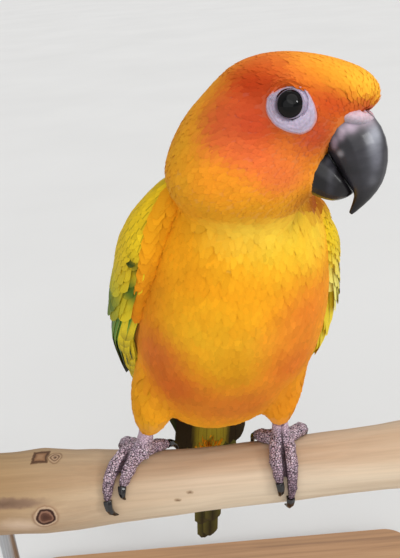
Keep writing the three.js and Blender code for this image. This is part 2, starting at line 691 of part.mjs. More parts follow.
function perchRadiusAt(x, angle) {
  const [, , radius] = perchRowAt(x);
  const waves = 0.25 * Math.sin(x / 9 + 2 * angle) + 0.2 * Math.cos(x / 17 - 3 * angle);
  const knots = KNOTS.map((knot) => {
    let turn = angle - radians(knot.angle);
    turn = Math.atan2(Math.sin(turn), Math.cos(turn)) * radius;
    const distance = Math.hypot(x - knot.x, turn) / knot.spread;
    return knot.rise * Math.exp(-distance * distance);
  });
  return radius + waves + knots[0] + knots[1];
}

// A point over the branch: angle 0 is its top and grows towards the front.
function onPerch(x, angle, rise) {
  const [, height] = perchRowAt(x);
  const reach = perchRadiusAt(x, angle) + rise;
  return point(x, -Math.sin(angle) * reach, height + Math.cos(angle) * reach);
}

function perchRings(grow = 0) {
  const rings = [];
  for (let i = 0; i <= 17; i++) {
    const x = mix(-PERCH_HALF_LENGTH, PERCH_HALF_LENGTH, i / 17);
    const end = (i === 17 ? grow : 0) - (i === 0 ? grow : 0);
    const ring = [];
    for (let j = 0; j < 22; j++) {
      const p = onPerch(x, (2 * Math.PI * j) / 22, grow);
      ring.push(point(p.x + end, p.y, p.z));
    }
    rings.push(ring);
  }
  return rings;
}
const perch = solidLoft(perchRings());
const perchGrown = solidLoft(perchRings(GAP));
addPart(bird, "perch", perch, LOOKS.branch);

// Toes: two in front of the branch and two behind. Each step is place along the branch,
// angle round it and height over it, in millimetres and degrees.
const TOE_RADIUS = { root: 3.1, middle: 2.65, end: 2.1 };
const FEET = {
  right: {
    ankle: [[-21.8, -1.6, 28], [-23.2, -0.8, 20.5], [-25.5, -1, 15.5]],
    toes: [
      { steps: [[-25, -6, 2.6], [-27.3, 9, 2.2], [-29.3, 25, 2.1], [-30.7, 39, 2], [-31.9, 51, 1.9]],
        claw: [[-32, 58, 2.2], [-31.9, 65, 1.6], [-31.2, 71, 0.7]] },
      { steps: [[-26, -8, 2.8], [-30.6, 2, 2.3], [-33.2, 16, 2.2], [-36.4, 42, 2.1], [-37.2, 68, 1.9]],
        claw: [[-37, 77, 2.3], [-36, 87, 1.9], [-34.2, 95, 0.7]] },
      { steps: [[-25, -6, 2.6], [-21.4, -14, 2.2], [-18.6, -24, 2.1], [-16, -38, 2]],
        claw: [[-14.6, -46, 2.5], [-13.2, -56, 2.1], [-12.6, -66, 0.7]] },
      { steps: [[-27, -10, 2.8], [-30, -24, 2.3], [-31.8, -46, 2.1], [-32.8, -70, 2], [-33, -92, 1.9]],
        claw: [[-33.4, -102, 2.3], [-33.8, -112, 1.9], [-34, -121, 0.7]] },
    ],
  },
  left: {
    ankle: [[24.8, -1.8, 29], [25, -1.2, 21.5], [25.4, -1.6, 16.8]],
    toes: [
      { steps: [[24.6, -2, 2.7], [23.2, 14, 2.3], [22.5, 34, 2.1], [22.7, 53, 2], [22.8, 71, 1.9]],
        claw: [[23, 80, 2.3], [22.9, 91, 1.8], [22.3, 100, 0.7]] },
      { steps: [[26, -2, 2.7], [27.2, 13, 2.3], [27.3, 38, 2.1], [27, 70, 2], [26.4, 100, 1.9]],
        claw: [[26.2, 111, 2.3], [25.8, 122, 2], [24.6, 132, 0.7]] },
      { steps: [[24.6, -2, 2.7], [20.6, -10, 2.2], [18.4, -24, 2.1], [17.4, -40, 2]],
        claw: [[16.6, -49, 2.5], [15.8, -60, 2], [15.2, -71, 0.7]] },
      { steps: [[26, -2, 2.7], [29.4, -10, 2.3], [32.2, -24, 2.2], [34.4, -44, 2.1], [35.2, -62, 2]],
        claw: [[35.5, -71, 2.4], [35.6, -82, 2], [35.4, -93, 0.7]] },
    ],
  },
};

// A round tube of changing radius along a smooth path, with rounded ends.
function tube(path, radii, count, around) {
  const curve = new THREE.CatmullRomCurve3(path);
  const rings = [];
  for (let i = 0; i < count; i++) {
    const t = i / (count - 1);
    const [radius] = rowAt(radii.map((r) => [r]), t);
    const tangent = curve.getTangent(t);
    const side = point(1, 0, 0).cross(tangent).normalize();
    const other = tangent.clone().cross(side);
    rings.push(ovalRing(curve.getPoint(t), side, other, radius, radius, radius, 2, around));
  }
  return rings;
}

function toeRadii(grow) {
  const { root, middle, end } = TOE_RADIUS;
  const joints = [root, root, middle * 1.06, middle * 0.94, middle * 1.04, end * 1.02, end, end * 0.55];
  return joints.map((radius) => radius + grow);
}

for (const [name, foot] of Object.entries(FEET)) {
  const ankle = foot.ankle.map((place) => point(...place));
  const onBranch = (steps) => steps.map(([x, angle, rise]) => onPerch(x, radians(angle), rise));
  const toePaths = foot.toes.map((toe) => onBranch(toe.steps));
  const leg = solidLoft(tube(ankle, [2.4, 3.1, 3.6], 5, 12));
  const toes = toePaths.map((path) => solidLoft(tube(path, toeRadii(0), 8, 8)));
  const claws = foot.toes.map((toe, i) => {
    const path = [toePaths[i].at(-1), ...onBranch(toe.claw)];
    return solidLoft(tube(path, [1.7, 1.5, 1, 0.25], 6, 6));
  });
  const toesGrown = toePaths.map((path) => solidLoft(tube(path, toeRadii(GAP), 8, 8)));
  const thigh = thighsGrown[name === "right" ? 0 : 1];
  addPart(bird, `foot_${name}`, clear(join([leg, ...toes]), [perchGrown, thigh]), LOOKS.foot);
  claws.forEach((claw, i) => {
    addPart(bird, `claw_${name}_${i + 1}`, clear(claw, [...toesGrown, perchGrown]), LOOKS.claw);
  });
}

// The display stand: a flat base with two rods up to the branch.
function standBase() {
  const { width, front, back, thickness, corner } = BASE;
  const half = width / 2;
  const outline = new THREE.Shape();
  outline.moveTo(corner - half, front);
  outline.lineTo(half - corner, front);
  outline.absarc(half - corner, front + corner, corner, -Math.PI / 2, 0);
  outline.lineTo(half, back - corner);
  outline.absarc(half - corner, back - corner, corner, 0, Math.PI / 2);
  outline.lineTo(corner - half, back);
  outline.absarc(corner - half, back - corner, corner, Math.PI / 2, Math.PI);
  outline.lineTo(-half, front + corner);
  outline.absarc(corner - half, front + corner, corner, Math.PI, 1.5 * Math.PI);
  return new THREE.ExtrudeGeometry(outline, { depth: thickness, bevelEnabled: false, curveSegments: 5 });
}
const plate = mergeVertices(standBase().deleteAttribute("normal").deleteAttribute("uv"), 1e-4);
const perchInPlace = perchGrown.translate([0, 0, PERCH_HEIGHT]);
for (const [name, side] of [["left", -1], ["right", 1]]) {
  const length = PERCH_HEIGHT - BASE.thickness - GAP;
  const cylinder = new THREE.CylinderGeometry(ROD.radius, ROD.radius, length, 24);
  cylinder.rotateX(Math.PI / 2);
  cylinder.translate(side * ROD.offset, 0, BASE.thickness + GAP + length / 2);
  addPart(group, `stand_rod_${name}`, clear(toSolid(cylinder), [perchInPlace]), LOOKS.rod);
}
addPart(group, "stand_base", toSolid(plate), LOOKS.base);

export default group;
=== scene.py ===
# %% [markdown]
# A life-size sun conure, a small bright parrot, sits on a cut branch on a museum stand.
# The imported CAD model gives every place and size. This file dresses it: one soft skin
# takes the place of the solid body parts, thousands of thin feathers lie over that skin,
# and each bare part, such as the bill, the feet and the branch, gets a finer shape and a
# finish of its own. The imported model is loaded first.

# %% Load the imported model
import json
import math

import bmesh
import bpy
import numpy as np
from mathutils import Matrix, Vector, noise
from mathutils.bvhtree import BVHTree

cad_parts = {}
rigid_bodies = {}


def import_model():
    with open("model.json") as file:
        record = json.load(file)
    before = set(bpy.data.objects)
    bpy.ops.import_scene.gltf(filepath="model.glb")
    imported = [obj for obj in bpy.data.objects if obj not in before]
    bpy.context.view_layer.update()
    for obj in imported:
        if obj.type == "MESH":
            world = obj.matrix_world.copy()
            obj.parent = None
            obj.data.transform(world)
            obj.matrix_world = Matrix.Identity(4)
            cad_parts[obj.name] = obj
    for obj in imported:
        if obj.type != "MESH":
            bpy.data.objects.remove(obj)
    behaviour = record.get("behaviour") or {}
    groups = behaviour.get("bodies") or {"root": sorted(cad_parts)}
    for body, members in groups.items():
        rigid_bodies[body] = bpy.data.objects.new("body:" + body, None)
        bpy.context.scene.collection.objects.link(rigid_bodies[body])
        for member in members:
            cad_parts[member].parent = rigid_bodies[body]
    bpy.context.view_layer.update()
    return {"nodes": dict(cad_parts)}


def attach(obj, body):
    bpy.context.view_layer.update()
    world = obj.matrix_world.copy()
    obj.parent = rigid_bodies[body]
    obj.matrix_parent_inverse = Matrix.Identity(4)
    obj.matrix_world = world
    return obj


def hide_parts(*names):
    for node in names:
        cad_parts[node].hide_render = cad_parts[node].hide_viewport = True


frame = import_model()
bpy.ops.object.select_all(action="DESELECT")
MM = 0.001
# Millimetres from the floor to the axis of the branch.
BRANCH_HEIGHT = 108
# One row of random numbers serves all feathers, so that every run gives the same bird.
rng = np.random.default_rng(20)
print("CAD nodes:", len(frame["nodes"]))

# %% [markdown]
# Places on the bird are easiest to think of in millimetres from the axis of the branch,
# and on the head along its own three directions: forward to the bill, left, and up. The
# body is turned a little, and the head is turned much further, as when a parrot looks at
# you with one eye. These few directions are worked out once from the angles of the pose.

# %% Directions of the body and the head
BODY_YAW = 12
HEAD_YAW, HEAD_NOD, HEAD_TILT = 66, 8, -12
HEAD_CENTRE = (20, -40, 136)


def in_frame(points):
    """From millimetres off the axis of the branch to the scene's metres."""
    return (np.asarray(points) + np.array([0, 0, BRANCH_HEIGHT])) * MM


def on_body_frame(points):
    """From the scene's metres back to millimetres off the axis of the branch."""
    return points / MM - np.array([0, 0, BRANCH_HEIGHT])


def unit(v):
    v = np.asarray(v, float)
    return v / np.maximum(np.linalg.norm(v, axis=-1, keepdims=True), 1e-12)


def dot(a, b):
    return np.sum(a * b, axis=-1)


def smooth(low, high, value):
    t = np.clip((np.asarray(value, float) - low) / (high - low), 0, 1)
    return t * t * (3 - 2 * t)


def body_directions():
    yaw = math.radians(BODY_YAW)
    left = np.array([math.cos(yaw), math.sin(yaw), 0])
    front = np.array([math.sin(yaw), -math.cos(yaw), 0])
    return left, front


def head_directions():
    yaw, nod, tilt = (math.radians(a) for a in (HEAD_YAW, HEAD_NOD, HEAD_TILT))
    ahead = math.cos(nod)
    forward = np.array([math.sin(yaw) * ahead, -math.cos(yaw) * ahead, -math.sin(nod)])
    level = np.array([math.cos(yaw), math.sin(yaw), 0])
    upright = -np.cross(level, forward)
    upright = upright if upright[2] > 0 else -upright
    left = level * math.cos(tilt) + upright * math.sin(tilt)
    up = upright * math.cos(tilt) - level * math.sin(tilt)
    return forward, left, up


BODY_LEFT, BODY_FRONT = body_directions()
HEAD_FORWARD, HEAD_LEFT, HEAD_UP = head_directions()
HEAD_MIDDLE = in_frame(HEAD_CENTRE)


def on_head(forward, left, up):
    return HEAD_MIDDLE + MM * (forward * HEAD_FORWARD + left * HEAD_LEFT + up * HEAD_UP)


def head_coordinates(points):
    offset = (np.asarray(points) - HEAD_MIDDLE) / MM
    return dot(offset, HEAD_FORWARD), dot(offset, HEAD_LEFT), dot(offset, HEAD_UP)


print("bill points towards", HEAD_FORWARD.round(2))

# %% [markdown]
# The camera looks down at the bird from a little above its head, close by, as someone
# holding a phone would. It is tipped slightly, which makes the branch rise to the right.

# %% Camera
CAMERA_PLACE = (1.2, -211, 176)
CAMERA_PITCH, CAMERA_ROLL = 24.2, 4.9
PHOTO_HEIGHT = 558
FOCAL_PIXELS = 720
SENSOR = 36
NEAREST_SEEN = 0.01


def placed(name, data):
    """A new object in the scene."""
    thing = bpy.data.objects.new(name, data)
    bpy.context.scene.collection.objects.link(thing)
    return thing


def make_camera():
    pitch, roll = math.radians(CAMERA_PITCH), math.radians(CAMERA_ROLL)
    level, steep = math.cos(pitch), math.sin(pitch)
    right = np.array([math.cos(roll), -math.sin(roll) * steep, -math.sin(roll) * level])
    up = np.array([math.sin(roll), math.cos(roll) * steep, math.cos(roll) * level])
    turned = Matrix([right, up, np.cross(right, up)]).transposed().to_4x4()
    camera = placed("camera", bpy.data.cameras.new("camera"))
    camera.data.sensor_width = SENSOR
    camera.data.lens = SENSOR * FOCAL_PIXELS / PHOTO_HEIGHT
    camera.data.clip_start = NEAREST_SEEN
    camera.matrix_world = Matrix.Translation(in_frame(CAMERA_PLACE)) @ turned
    bpy.context.scene.camera = camera
    return camera


print("camera at", make_camera().location)

# %% [markdown]
# A museum case has soft, even light. One large lamp stands high to the right, a second
# one, just as large, fills from low on the left, and a third comes from behind and above
# to draw a light edge along the back. A weaker lamp with a small disc, far to the right,
# adds the bright glint in the eye. The floor is plain and pale. Standard colour keeps the
# strong yellow and orange of the plumage.

# %% Lamps and floor
ROOM_COLOUR, ROOM_STRENGTH = (0.93, 0.95, 1, 1), 0.48
FLOOR_SIZE = 30


def lamp(name, azimuth, elevation, softness, strength, tint=(1, 1, 1)):
    """Azimuth counts from the camera to the right. All angles are in degrees."""
    a, e = math.radians(azimuth), math.radians(elevation)
    direction = Vector((math.sin(a) * math.cos(e), -math.cos(a) * math.cos(e), math.sin(e)))
    light = bpy.data.lights.new(name, "SUN")
    light.angle = math.radians(softness)
    light.energy = strength
    light.color = tint
    thing = placed(name, light)
    thing.location = direction
    thing.rotation_euler = direction.to_track_quat("Z", "Y").to_euler()


lamp("key_lamp", 26, 50, 72, 1.28, (1, 0.985, 0.96))
lamp("fill_lamp", -14, 14, 70, 0.75, (0.98, 0.99, 1))
lamp("glint_lamp", 54, 24, 10, 0.62)
lamp("back_lamp", 168, 50, 30, 0.5)
world = bpy.data.worlds.new("pale_room")
bpy.context.scene.world = world
world.use_nodes = True
world.node_tree.nodes["Background"].inputs["Color"].default_value = ROOM_COLOUR
world.node_tree.nodes["Background"].inputs["Strength"].default_value = ROOM_STRENGTH
bpy.context.scene.view_settings.view_transform = "Standard"

bpy.ops.mesh.primitive_plane_add(size=FLOOR_SIZE, location=(0, 0, 0))
floor = bpy.context.object
floor.name = "floor"
print("lamps:", len(bpy.data.lights))

# %% [markdown]
# Every finish is a small tree of shader nodes. A colour is written as it looks on a
# screen, so it is changed to the linear light values that the shader works with. Helpers
# add a node, set its sockets and join it, so that each material reads as a short list.

# %% Helpers for materials
def linear(colour):
    """Red, green and blue as light, from six hexadecimal digits as on a screen."""
    value = int(colour, 16)
    channels = [(value >> shift & 255) / 255 for shift in (16, 8, 0)]
    return np.array([c / 12.92 if c <= 0.04045 else ((c + 0.055) / 1.055) ** 2.4 for c in channels])


def rgba(colour):
    return (*linear(colour), 1)


def new_material(name, **sockets):
    material = bpy.data.materials.new(name)
    material.use_nodes = True
    shader = material.node_tree.nodes["Principled BSDF"]
    for socket, value in sockets.items():
        shader.inputs[socket.replace("_", " ")].default_value = value
    return material


def add(material, kind, inputs=None, **settings):
    node = material.node_tree.nodes.new("ShaderNode" + kind)
    for name, value in settings.items():
        setattr(node, name, value)
    for name, value in (inputs or {}).items():
        if isinstance(value, bpy.types.NodeSocket):
            material.node_tree.links.new(value, node.inputs[name])
        else:
            node.inputs[name].default_value = value
    return node


def attribute(material, name, output="Color"):
    """What was painted on the mesh under this name."""
    return add(material, "Attribute", attribute_name=name).outputs[output]


def maths(material, operation, *values):
    return add(material, "Math", dict(enumerate(values)), operation=operation).outputs[0]


def mixed(material, factor, first, second, blend="MIX"):
    """A Mix node has its sockets for colours at the numbers 6 and 7, and its result at 2."""
    inputs = {0: factor, 6: first, 7: second}
    return add(material, "Mix", inputs, data_type="RGBA", blend_type=blend).outputs[2]


def ramp(material, factor, *stops):
    node = add(material, "ValToRGB", {"Fac": factor})
    while len(node.color_ramp.elements) < len(stops):
        node.color_ramp.elements.new(0.5)
    for element, (place, colour) in zip(node.color_ramp.elements, stops):
        element.position = place
        element.color = colour
    return node.outputs["Color"]


def grey(value):
    return (value, value, value, 1)


def toned(material, colour, factor, *stops):
    """A colour made lighter or darker by a ramp."""
    return mixed(material, 1.0, colour, ramp(material, factor, *stops), "MULTIPLY")


def stretched(material, scale, turn=(0, 0, 0)):
    """Places on the object, scaled along each axis, so that a pattern gets long or short."""
    place = add(material, "TexCoord").outputs["Object"]
    inputs = {"Vector": place, "Scale": scale, "Rotation": turn}
    return add(material, "Mapping", inputs).outputs["Vector"]


def noise_on(material, vector, scale, detail=3, roughness=0.55, distortion=0):
    inputs = {"Vector": vector, "Scale": scale, "Detail": detail, "Roughness": roughness,
              "Distortion": distortion}
    return add(material, "TexNoise", inputs).outputs["Fac"]


def wire(material, value, socket):
    shader = material.node_tree.nodes["Principled BSDF"]
    material.node_tree.links.new(value, shader.inputs[socket])


def bump(material, height, strength, distance, under=None):
    """Relief of at most the given distance in mm, over another relief if there is one."""
    inputs = {"Height": height, "Strength": strength, "Distance": distance * MM}
    if under is not None:
        inputs["Normal"] = under
    return add(material, "Bump", inputs).outputs["Normal"]


FLOOR_CLOUDS = 3
floor_finish = new_material("pale_floor", Roughness=0.8)
clouds = noise_on(floor_finish, stretched(floor_finish, (1, 1, 1)), FLOOR_CLOUDS)
floor_tone = ramp(floor_finish, clouds, (0.3, rgba("DDDCD9")), (0.7, rgba("E2E1DE")))
wire(floor_finish, floor_tone, "Base Color")
floor.data.materials.append(floor_finish)
print("first finish:", floor_finish.name)

# %% [markdown]
# The plumage is not one colour but a wash of many: golden forehead, red-orange face,
# yellow breast, deep orange belly. Like an airbrush painter, we lay one base colour and
# spray named patches over it, each with a place, a reach and a colour. The skin and
# every feather ask the same function for their colour, so that both carry the same
# markings. Head patches are given in the head's own directions and lie on both sides.
# A few patches are painted light and shade: the upper breast is sprayed brighter where the head
# shades it, and the hollow under the chin darker.

# %% Markings of the plumage
PLUMAGE_BASE = "F2A31C"
# Place in millimetres from the branch axis, reach along x, y and z, colour, strength.
BODY_PATCHES = [
    ((14, 10, 100), (60, 26, 50), "EFA31A", 0.6),
    ((14, -44, 100), (26, 22, 16), "F6B824", 0.6),
    # Painted light in part: here and in the next two patches the yellow upper breast is its own
    # colour sprayed brighter where the head shades it.
    ((28, -42, 106), (17, 14, 13), "FBD236", 0.85),
    ((16, -46, 112), (15, 12, 7), "FACF44", 0.85),
    ((34, -36, 106), (5, 9, 8), "FFD640", 0.8),
    # Painted shadow: dark orange in the hollow under the chin.
    ((35.5, -31, 114), (5, 8, 4), "A8501A", 0.9),
    # Painted light: brighter yellow where the head's shadow falls on the breast.
    ((-8, -36, 109), (8, 12, 8), "FFB01C", 0.8),
    ((-7, -38, 105), (13, 16, 14), "EBA01A", 0.75),
    ((2, -44, 90), (20, 16, 13), "F7AE1C", 0.7),
    ((-1, -42, 98), (9, 12, 6), "F29A18", 0.5),
    ((18, -42, 92), (13, 14, 8), "F8A51C", 0.6),
    # Painted shade in part: a deeper orange on the bird's right flank.
    ((-15, -30, 82), (8, 16, 22), "DB8618", 0.8),
    ((0, -40, 79), (13, 14, 10), "EFB224", 0.75),
    ((12, -38, 72), (12, 12, 8), "EFB428", 0.6),
    ((30, -34, 80), (11, 16, 14), "E8822A", 0.9),
    ((22, -34, 72), (9, 14, 9), "EE922A", 0.6),
    ((8, -34, 62), (13, 16, 12), "DC9E1C", 0.8),
    ((-14, -28, 68), (9, 18, 10), "CE6A2C", 0.9),
    ((-10, -26, 54), (12, 20, 11), "CB5F24", 0.95),
    ((6, -22, 46), (20, 20, 11), "CF7424", 0.85),
    ((26, -24, 60), (11, 18, 13), "DC7428", 0.9),
    ((14, -18, 40), (16, 18, 9), "D2742A", 0.7),
    ((2, 6, 26), (16, 12, 7), "B88424", 0.7),
    ((0, 20, 12), (16, 13, 13), "8E7F22", 1.0),
    ((-21, -10, 31), (8, 8, 3), "EBBE90", 0.6),
    ((26, -7, 26), (8, 8, 3), "EBBE90", 0.6),
    ((-21, -8, 38), (8, 14, 17), "E29C1E", 0.95),
    ((26, -8, 36), (8, 14, 15), "E4901E", 0.95),
]
# Forward, sideways and up on the head, reach, colour, strength.
HEAD_PATCHES = [
    ((-14, 14, -12), (13, 18, 20), "E2A224", 1.0),
    ((-16, 0, 0), (12, 20, 18), "DD9424", 0.85),
    ((0, 0, -20), (22, 24, 6), "E29A22", 0.95),
    ((2, 12, 15), (13, 16, 7), "E2692C", 0.95),
    ((-2, 14, 9), (9, 10, 7), "BA3E12", 0.95),
    ((0, 17, 2), (11, 8, 9), "C54A28", 1.0),
    ((-7, 16, 0), (5, 9, 7), "C85630", 0.8),
    ((13, 10, 2), (8, 8, 8), "C24F2C", 1.0),
    ((16, 10, 9.5), (9, 8, 4.5), "CE4E22", 0.95),
    ((1, 17, -6), (9, 8, 5), "EC6C3C", 0.9),
    ((8, 13, -9), (8, 9, 5), "E9763A", 0.9),
    ((-5, 17, -12), (8, 9, 5), "F59826", 0.85),
    ((14, 4, 18), (11, 12, 5), "FFAA30", 1.0),
    ((21, 3, 15.5), (7, 9, 4.5), "FFBE38", 1.0),
    ((23.5, 3, 9.2), (5.5, 8, 3.0), "C9562C", 0.95),
    ((-1, 15, 10.5), (8, 5, 2.2), "A83210", 0.5),
]
# As the body's patches, but laid on last: painted shadow in the hollow between the chin
# and the left shoulder.
CHIN_SHADOW_PATCHES = [
    ((34.6, -29.6, 113.4), (6.5, 9, 4.4), "A8561A", 1.0),
    ((27, -50, 121), (5, 6, 4), "BE6C1E", 0.7),
]
# How firm the edge of a sprayed patch is.
SPRAY_EDGE = 1.3
# The head's markings end at this height on the head and this far from its middle line.
NECK_BAND, HEAD_REACH = (-25, -17), (48, 34)


def sprayed(colour, points, place, reach, patch, strength):
    distance = np.sum(((points - np.array(place)) / np.array(reach)) ** 2, axis=-1)
    share = strength * np.exp(-distance ** SPRAY_EDGE)
    return colour + (linear(patch) - colour) * share[..., None]


def one_colour(colour, shape):
    """The same colour at every point of an array of that shape."""
    return np.tile(linear(colour), shape + (1,))


def plumage_colour(points):
    points = np.asarray(points)
    forward, left, up = head_coordinates(points)
    in_body = on_body_frame(points)
    colour = one_colour(PLUMAGE_BASE, points.shape[:-1])
    for patch in BODY_PATCHES:
        colour = sprayed(colour, in_body, *patch)
    face = colour.copy()
    on_face = np.stack([forward, np.abs(left), up], axis=-1)
    for patch in HEAD_PATCHES:
        face = sprayed(face, on_face, *patch)
    share = smooth(*NECK_BAND, up) * smooth(*HEAD_REACH, np.sqrt(forward ** 2 + left ** 2))
    colour = colour + (face - colour) * share[..., None]
    # Last comes the painted shadow under the chin.
    for patch in CHIN_SHADOW_PATCHES:
        colour = sprayed(colour, in_body, *patch)
    return colour


print("breast", plumage_colour(in_frame((20, -45, 100))).round(2))

# %% [markdown]
# A few helpers serve every piece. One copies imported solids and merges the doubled
# corners of their loose triangles. One melts meshes into a single form with a voxel
# remesh and smooths it, as one smooths clay over a frame. Others read, move and paint
# all points of a mesh at once, because a loop over single points is slow. A lump that
# is drawn out from ring to ring starts as a disc and is extruded, as by hand.

# %% Helpers for mesh pieces
DOUBLES_WITHIN = 0.002


def keep(piece, slot, *nodes):
    """A finished piece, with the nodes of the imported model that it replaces."""
    piece.data.name = piece.name
    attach(piece, "root")
    if nodes:
        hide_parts(*nodes)
    return piece


def only(thing):
    bpy.ops.object.select_all(action="DESELECT")
    thing.select_set(True)
    bpy.context.view_layer.objects.active = thing


def merged_copy(name, *nodes):
    bm = bmesh.new()
    for node in nodes:
        bm.from_mesh(frame["nodes"][node].data)
    bmesh.ops.remove_doubles(bm, verts=bm.verts, dist=DOUBLES_WITHIN * MM)
    mesh = bpy.data.meshes.new(name)
    bm.to_mesh(mesh)
    bm.free()
    mesh.materials.clear()
    return placed(name, mesh)


def joined(name, things):
    bpy.ops.object.select_all(action="DESELECT")
    for thing in things:
        thing.select_set(True)
    bpy.context.view_layer.objects.active = things[0]
    bpy.ops.object.join()
    things[0].name = name
    return things[0]


def remeshed(thing, voxel, rounds):
    """Melted into one form by cubes of the given size in mm, then smoothed a few rounds."""
    only(thing)
    remesh = thing.modifiers.new("remesh", "REMESH")
    remesh.mode = "VOXEL"
    remesh.voxel_size = voxel * MM
    bpy.ops.object.modifier_apply(modifier="remesh")
    soften = thing.modifiers.new("soften", "SMOOTH")
    soften.factor = 0.5
    soften.iterations = rounds
    bpy.ops.object.modifier_apply(modifier="soften")
    bpy.ops.object.shade_smooth()
    return thing


def places_of(thing, what="co"):
    found = np.empty(len(thing.data.vertices) * 3, np.float32)
    thing.data.vertices.foreach_get(what, found)
    return found.reshape(-1, 3).astype(float)


def normals_of(thing):
    return places_of(thing, "normal")


def move_vertices(thing, places):
    thing.data.vertices.foreach_set("co", places.astype(np.float32).ravel())
    thing.data.update()


def paint(thing, name, values):
    """Colour, or any single value, for each vertex."""
    values = np.asarray(values, np.float32)
    layer = thing.data.attributes.new(name, "FLOAT_COLOR" if values.ndim == 2 else "FLOAT", "POINT")
    if values.ndim == 2:
        values = np.concatenate([values, np.ones((len(values), 1), np.float32)], axis=1)
        layer.data.foreach_set("color", values.ravel())
    else:
        layer.data.foreach_set("value", values)


def shaded_smoothly(thing):
    """Smooth shading, with the object at the origin and its place in its mesh."""
    thing.matrix_world = Matrix.Identity(4)
    only(thing)
    bpy.ops.object.shade_smooth()
    return thing


def facing_out(thing):
    only(thing)
    bpy.ops.object.mode_set(mode="EDIT")
    bpy.ops.mesh.select_all(action="SELECT")
    bpy.ops.mesh.normals_make_consistent(inside=False)
    bpy.ops.object.mode_set(mode="OBJECT")
    thing.matrix_world = Matrix.Identity(4)
    return thing


def row_at(rows, fraction):
    """A row between the given rows, on a smooth curve through them."""
    rows = np.asarray(rows, float)
    place = np.clip(np.asarray(fraction, float), 0, 1) * (len(rows) - 1)
    first = np.minimum(place.astype(int), len(rows) - 2)
    t = (place - first)[..., None]
    a, b, c, d = (rows[np.clip(first + i, 0, len(rows) - 1)] for i in (-1, 0, 1, 2))
    rise, fall = (c - a) / 2, (d - b) / 2
    return b + t * (rise + t * (3 * (c - b) - 2 * rise - fall + t * (2 * (b - c) + rise + fall)))


def extruded(name, rings):
    """A disc extruded once for each further ring, with every ring then set in its place."""
    rings = np.asarray(rings)
    rows, count = rings.shape[:2]
    bpy.ops.mesh.primitive_circle_add(vertices=count, radius=1, fill_type="NGON")
    thing = bpy.context.object
    thing.name = name
    bpy.ops.object.mode_set(mode="EDIT")
    bpy.ops.mesh.select_all(action="SELECT")
    for _ in range(rows - 1):
        bpy.ops.mesh.extrude_region_move(TRANSFORM_OT_translate={"value": (0, 0, 1)})
    bpy.ops.object.mode_set(mode="OBJECT")
    drawn = places_of(thing)
    turn = np.round(np.arctan2(drawn[:, 1], drawn[:, 0]) / (2 * np.pi) * count).astype(int) % count
    move_vertices(thing, rings[np.round(drawn[:, 2]).astype(int), turn])
    return facing_out(thing)


# %% [markdown]
# The folded wing is a long shallow shell that lies along the back. Its surface is given
# by a few cross-sections down the wing, the same that the solid wing was made from. One
# function turns a place along and across the wing into a point, and both the lump under
# the feathers and the feathers themselves are set out with it.

# %% Surface of a folded wing
BACK_AXIS_ROWS = [
    [128, 14.5, -33], [108, 12.5, -25], [88, 10.2, -15], [68, 8.2, -6], [48, 5.8, 2],
    [28, 1.8, 14], [8, 0.2, 24], [-12, -1.4, 31.5], [-32, -2.6, 39.5],
]
# Height, front edge out and ahead, rear edge out and ahead, bulge, depth.
WING_ROWS = [
    [120, 16, 1, 9, -8, 5, 3],
    [114, 23.5, 4.5, 6, -14.5, 9, 5],
    [105, 28.2, 7.5, 4.4, -19.5, 12, 6],
    [94, 30.4, 7.8, 2.8, -23.5, 13.5, 7],
    [81, 33, 6, 2, -25, 14, 8],
    [65, 33.8, 3, 1.6, -24.5, 13.5, 8],
    [48, 31, -1, 1.4, -22, 12, 7],
    [30, 24, -5, 1.2, -18, 8.5, 4.5],
    [12, 16.5, -7, 1.2, -14.5, 5, 2],
    [-6, 10.6, -7.4, 1.2, -11, 3, 1.2],
    [-25, 4.4, -7.6, 1.6, -9.4, 1.2, 0.8],
]
SIDES = {"left": 1, "right": -1}
# The body leans, so the left wing sits this many mm lower than given, and the right one higher.
WING_LIFT = 4
# How much closer each wing is held to the side, in mm, at heights over the branch.
WING_TUCK = {
    1: [(30, 0), (48, -1.3), (55, -1.8), (62, -0.9), (70, 0), (95, 2.2), (105, 3.0),
        (109.5, 3.3), (114, 1.6), (117, 0.3), (120, 0)],
    -1: [(34, -0.5), (48, 0.3), (56, 0.3), (66, -0.5), (78, 0.9), (90, 1.0), (99, 0.55),
         (105, 0.7), (110, 1.0), (114, 1.4)],
}


def wing_section(side, lengthwise):
    rows = row_at(WING_ROWS, lengthwise)
    height, out_front, ahead_front, out_rear, ahead_rear, bulge, depth = np.moveaxis(rows, -1, 0)
    top, bottom = BACK_AXIS_ROWS[0][0], BACK_AXIS_ROWS[-1][0]
    axis = row_at(BACK_AXIS_ROWS, (top - height) / (top - bottom))
    middle = np.stack([axis[..., 1], axis[..., 2], height - side * WING_LIFT], axis=-1)
    out_front = out_front - np.interp(height, *zip(*WING_TUCK[side]))
    front = middle + side * out_front[..., None] * BODY_LEFT + ahead_front[..., None] * BODY_FRONT
    rear = middle + side * out_rear[..., None] * BODY_LEFT + ahead_rear[..., None] * BODY_FRONT
    half = (front - rear) / 2
    outward = unit(side * dot(half, BODY_FRONT)[..., None] * BODY_LEFT
                   - side * dot(half, BODY_LEFT)[..., None] * BODY_FRONT)
    return (front + rear) / 2, half, outward, bulge[..., None], depth[..., None]


def on_wing(side, lengthwise, across, rise):
    """A point on the wing and the way out there. Across runs from the front edge backwards."""
    middle, half, outward, bulge, depth = wing_section(side, lengthwise)
    c, s = (f(np.pi * np.asarray(across, float))[..., None] for f in (np.cos, np.sin))
    bulge = np.where(s < 0, depth, bulge)
    normal = unit(half * c / dot(half, half)[..., None] + outward * s / bulge)
    point = middle + half * c + outward * bulge * s + normal * np.asarray(rise, float)[..., None]
    return in_frame(point), normal


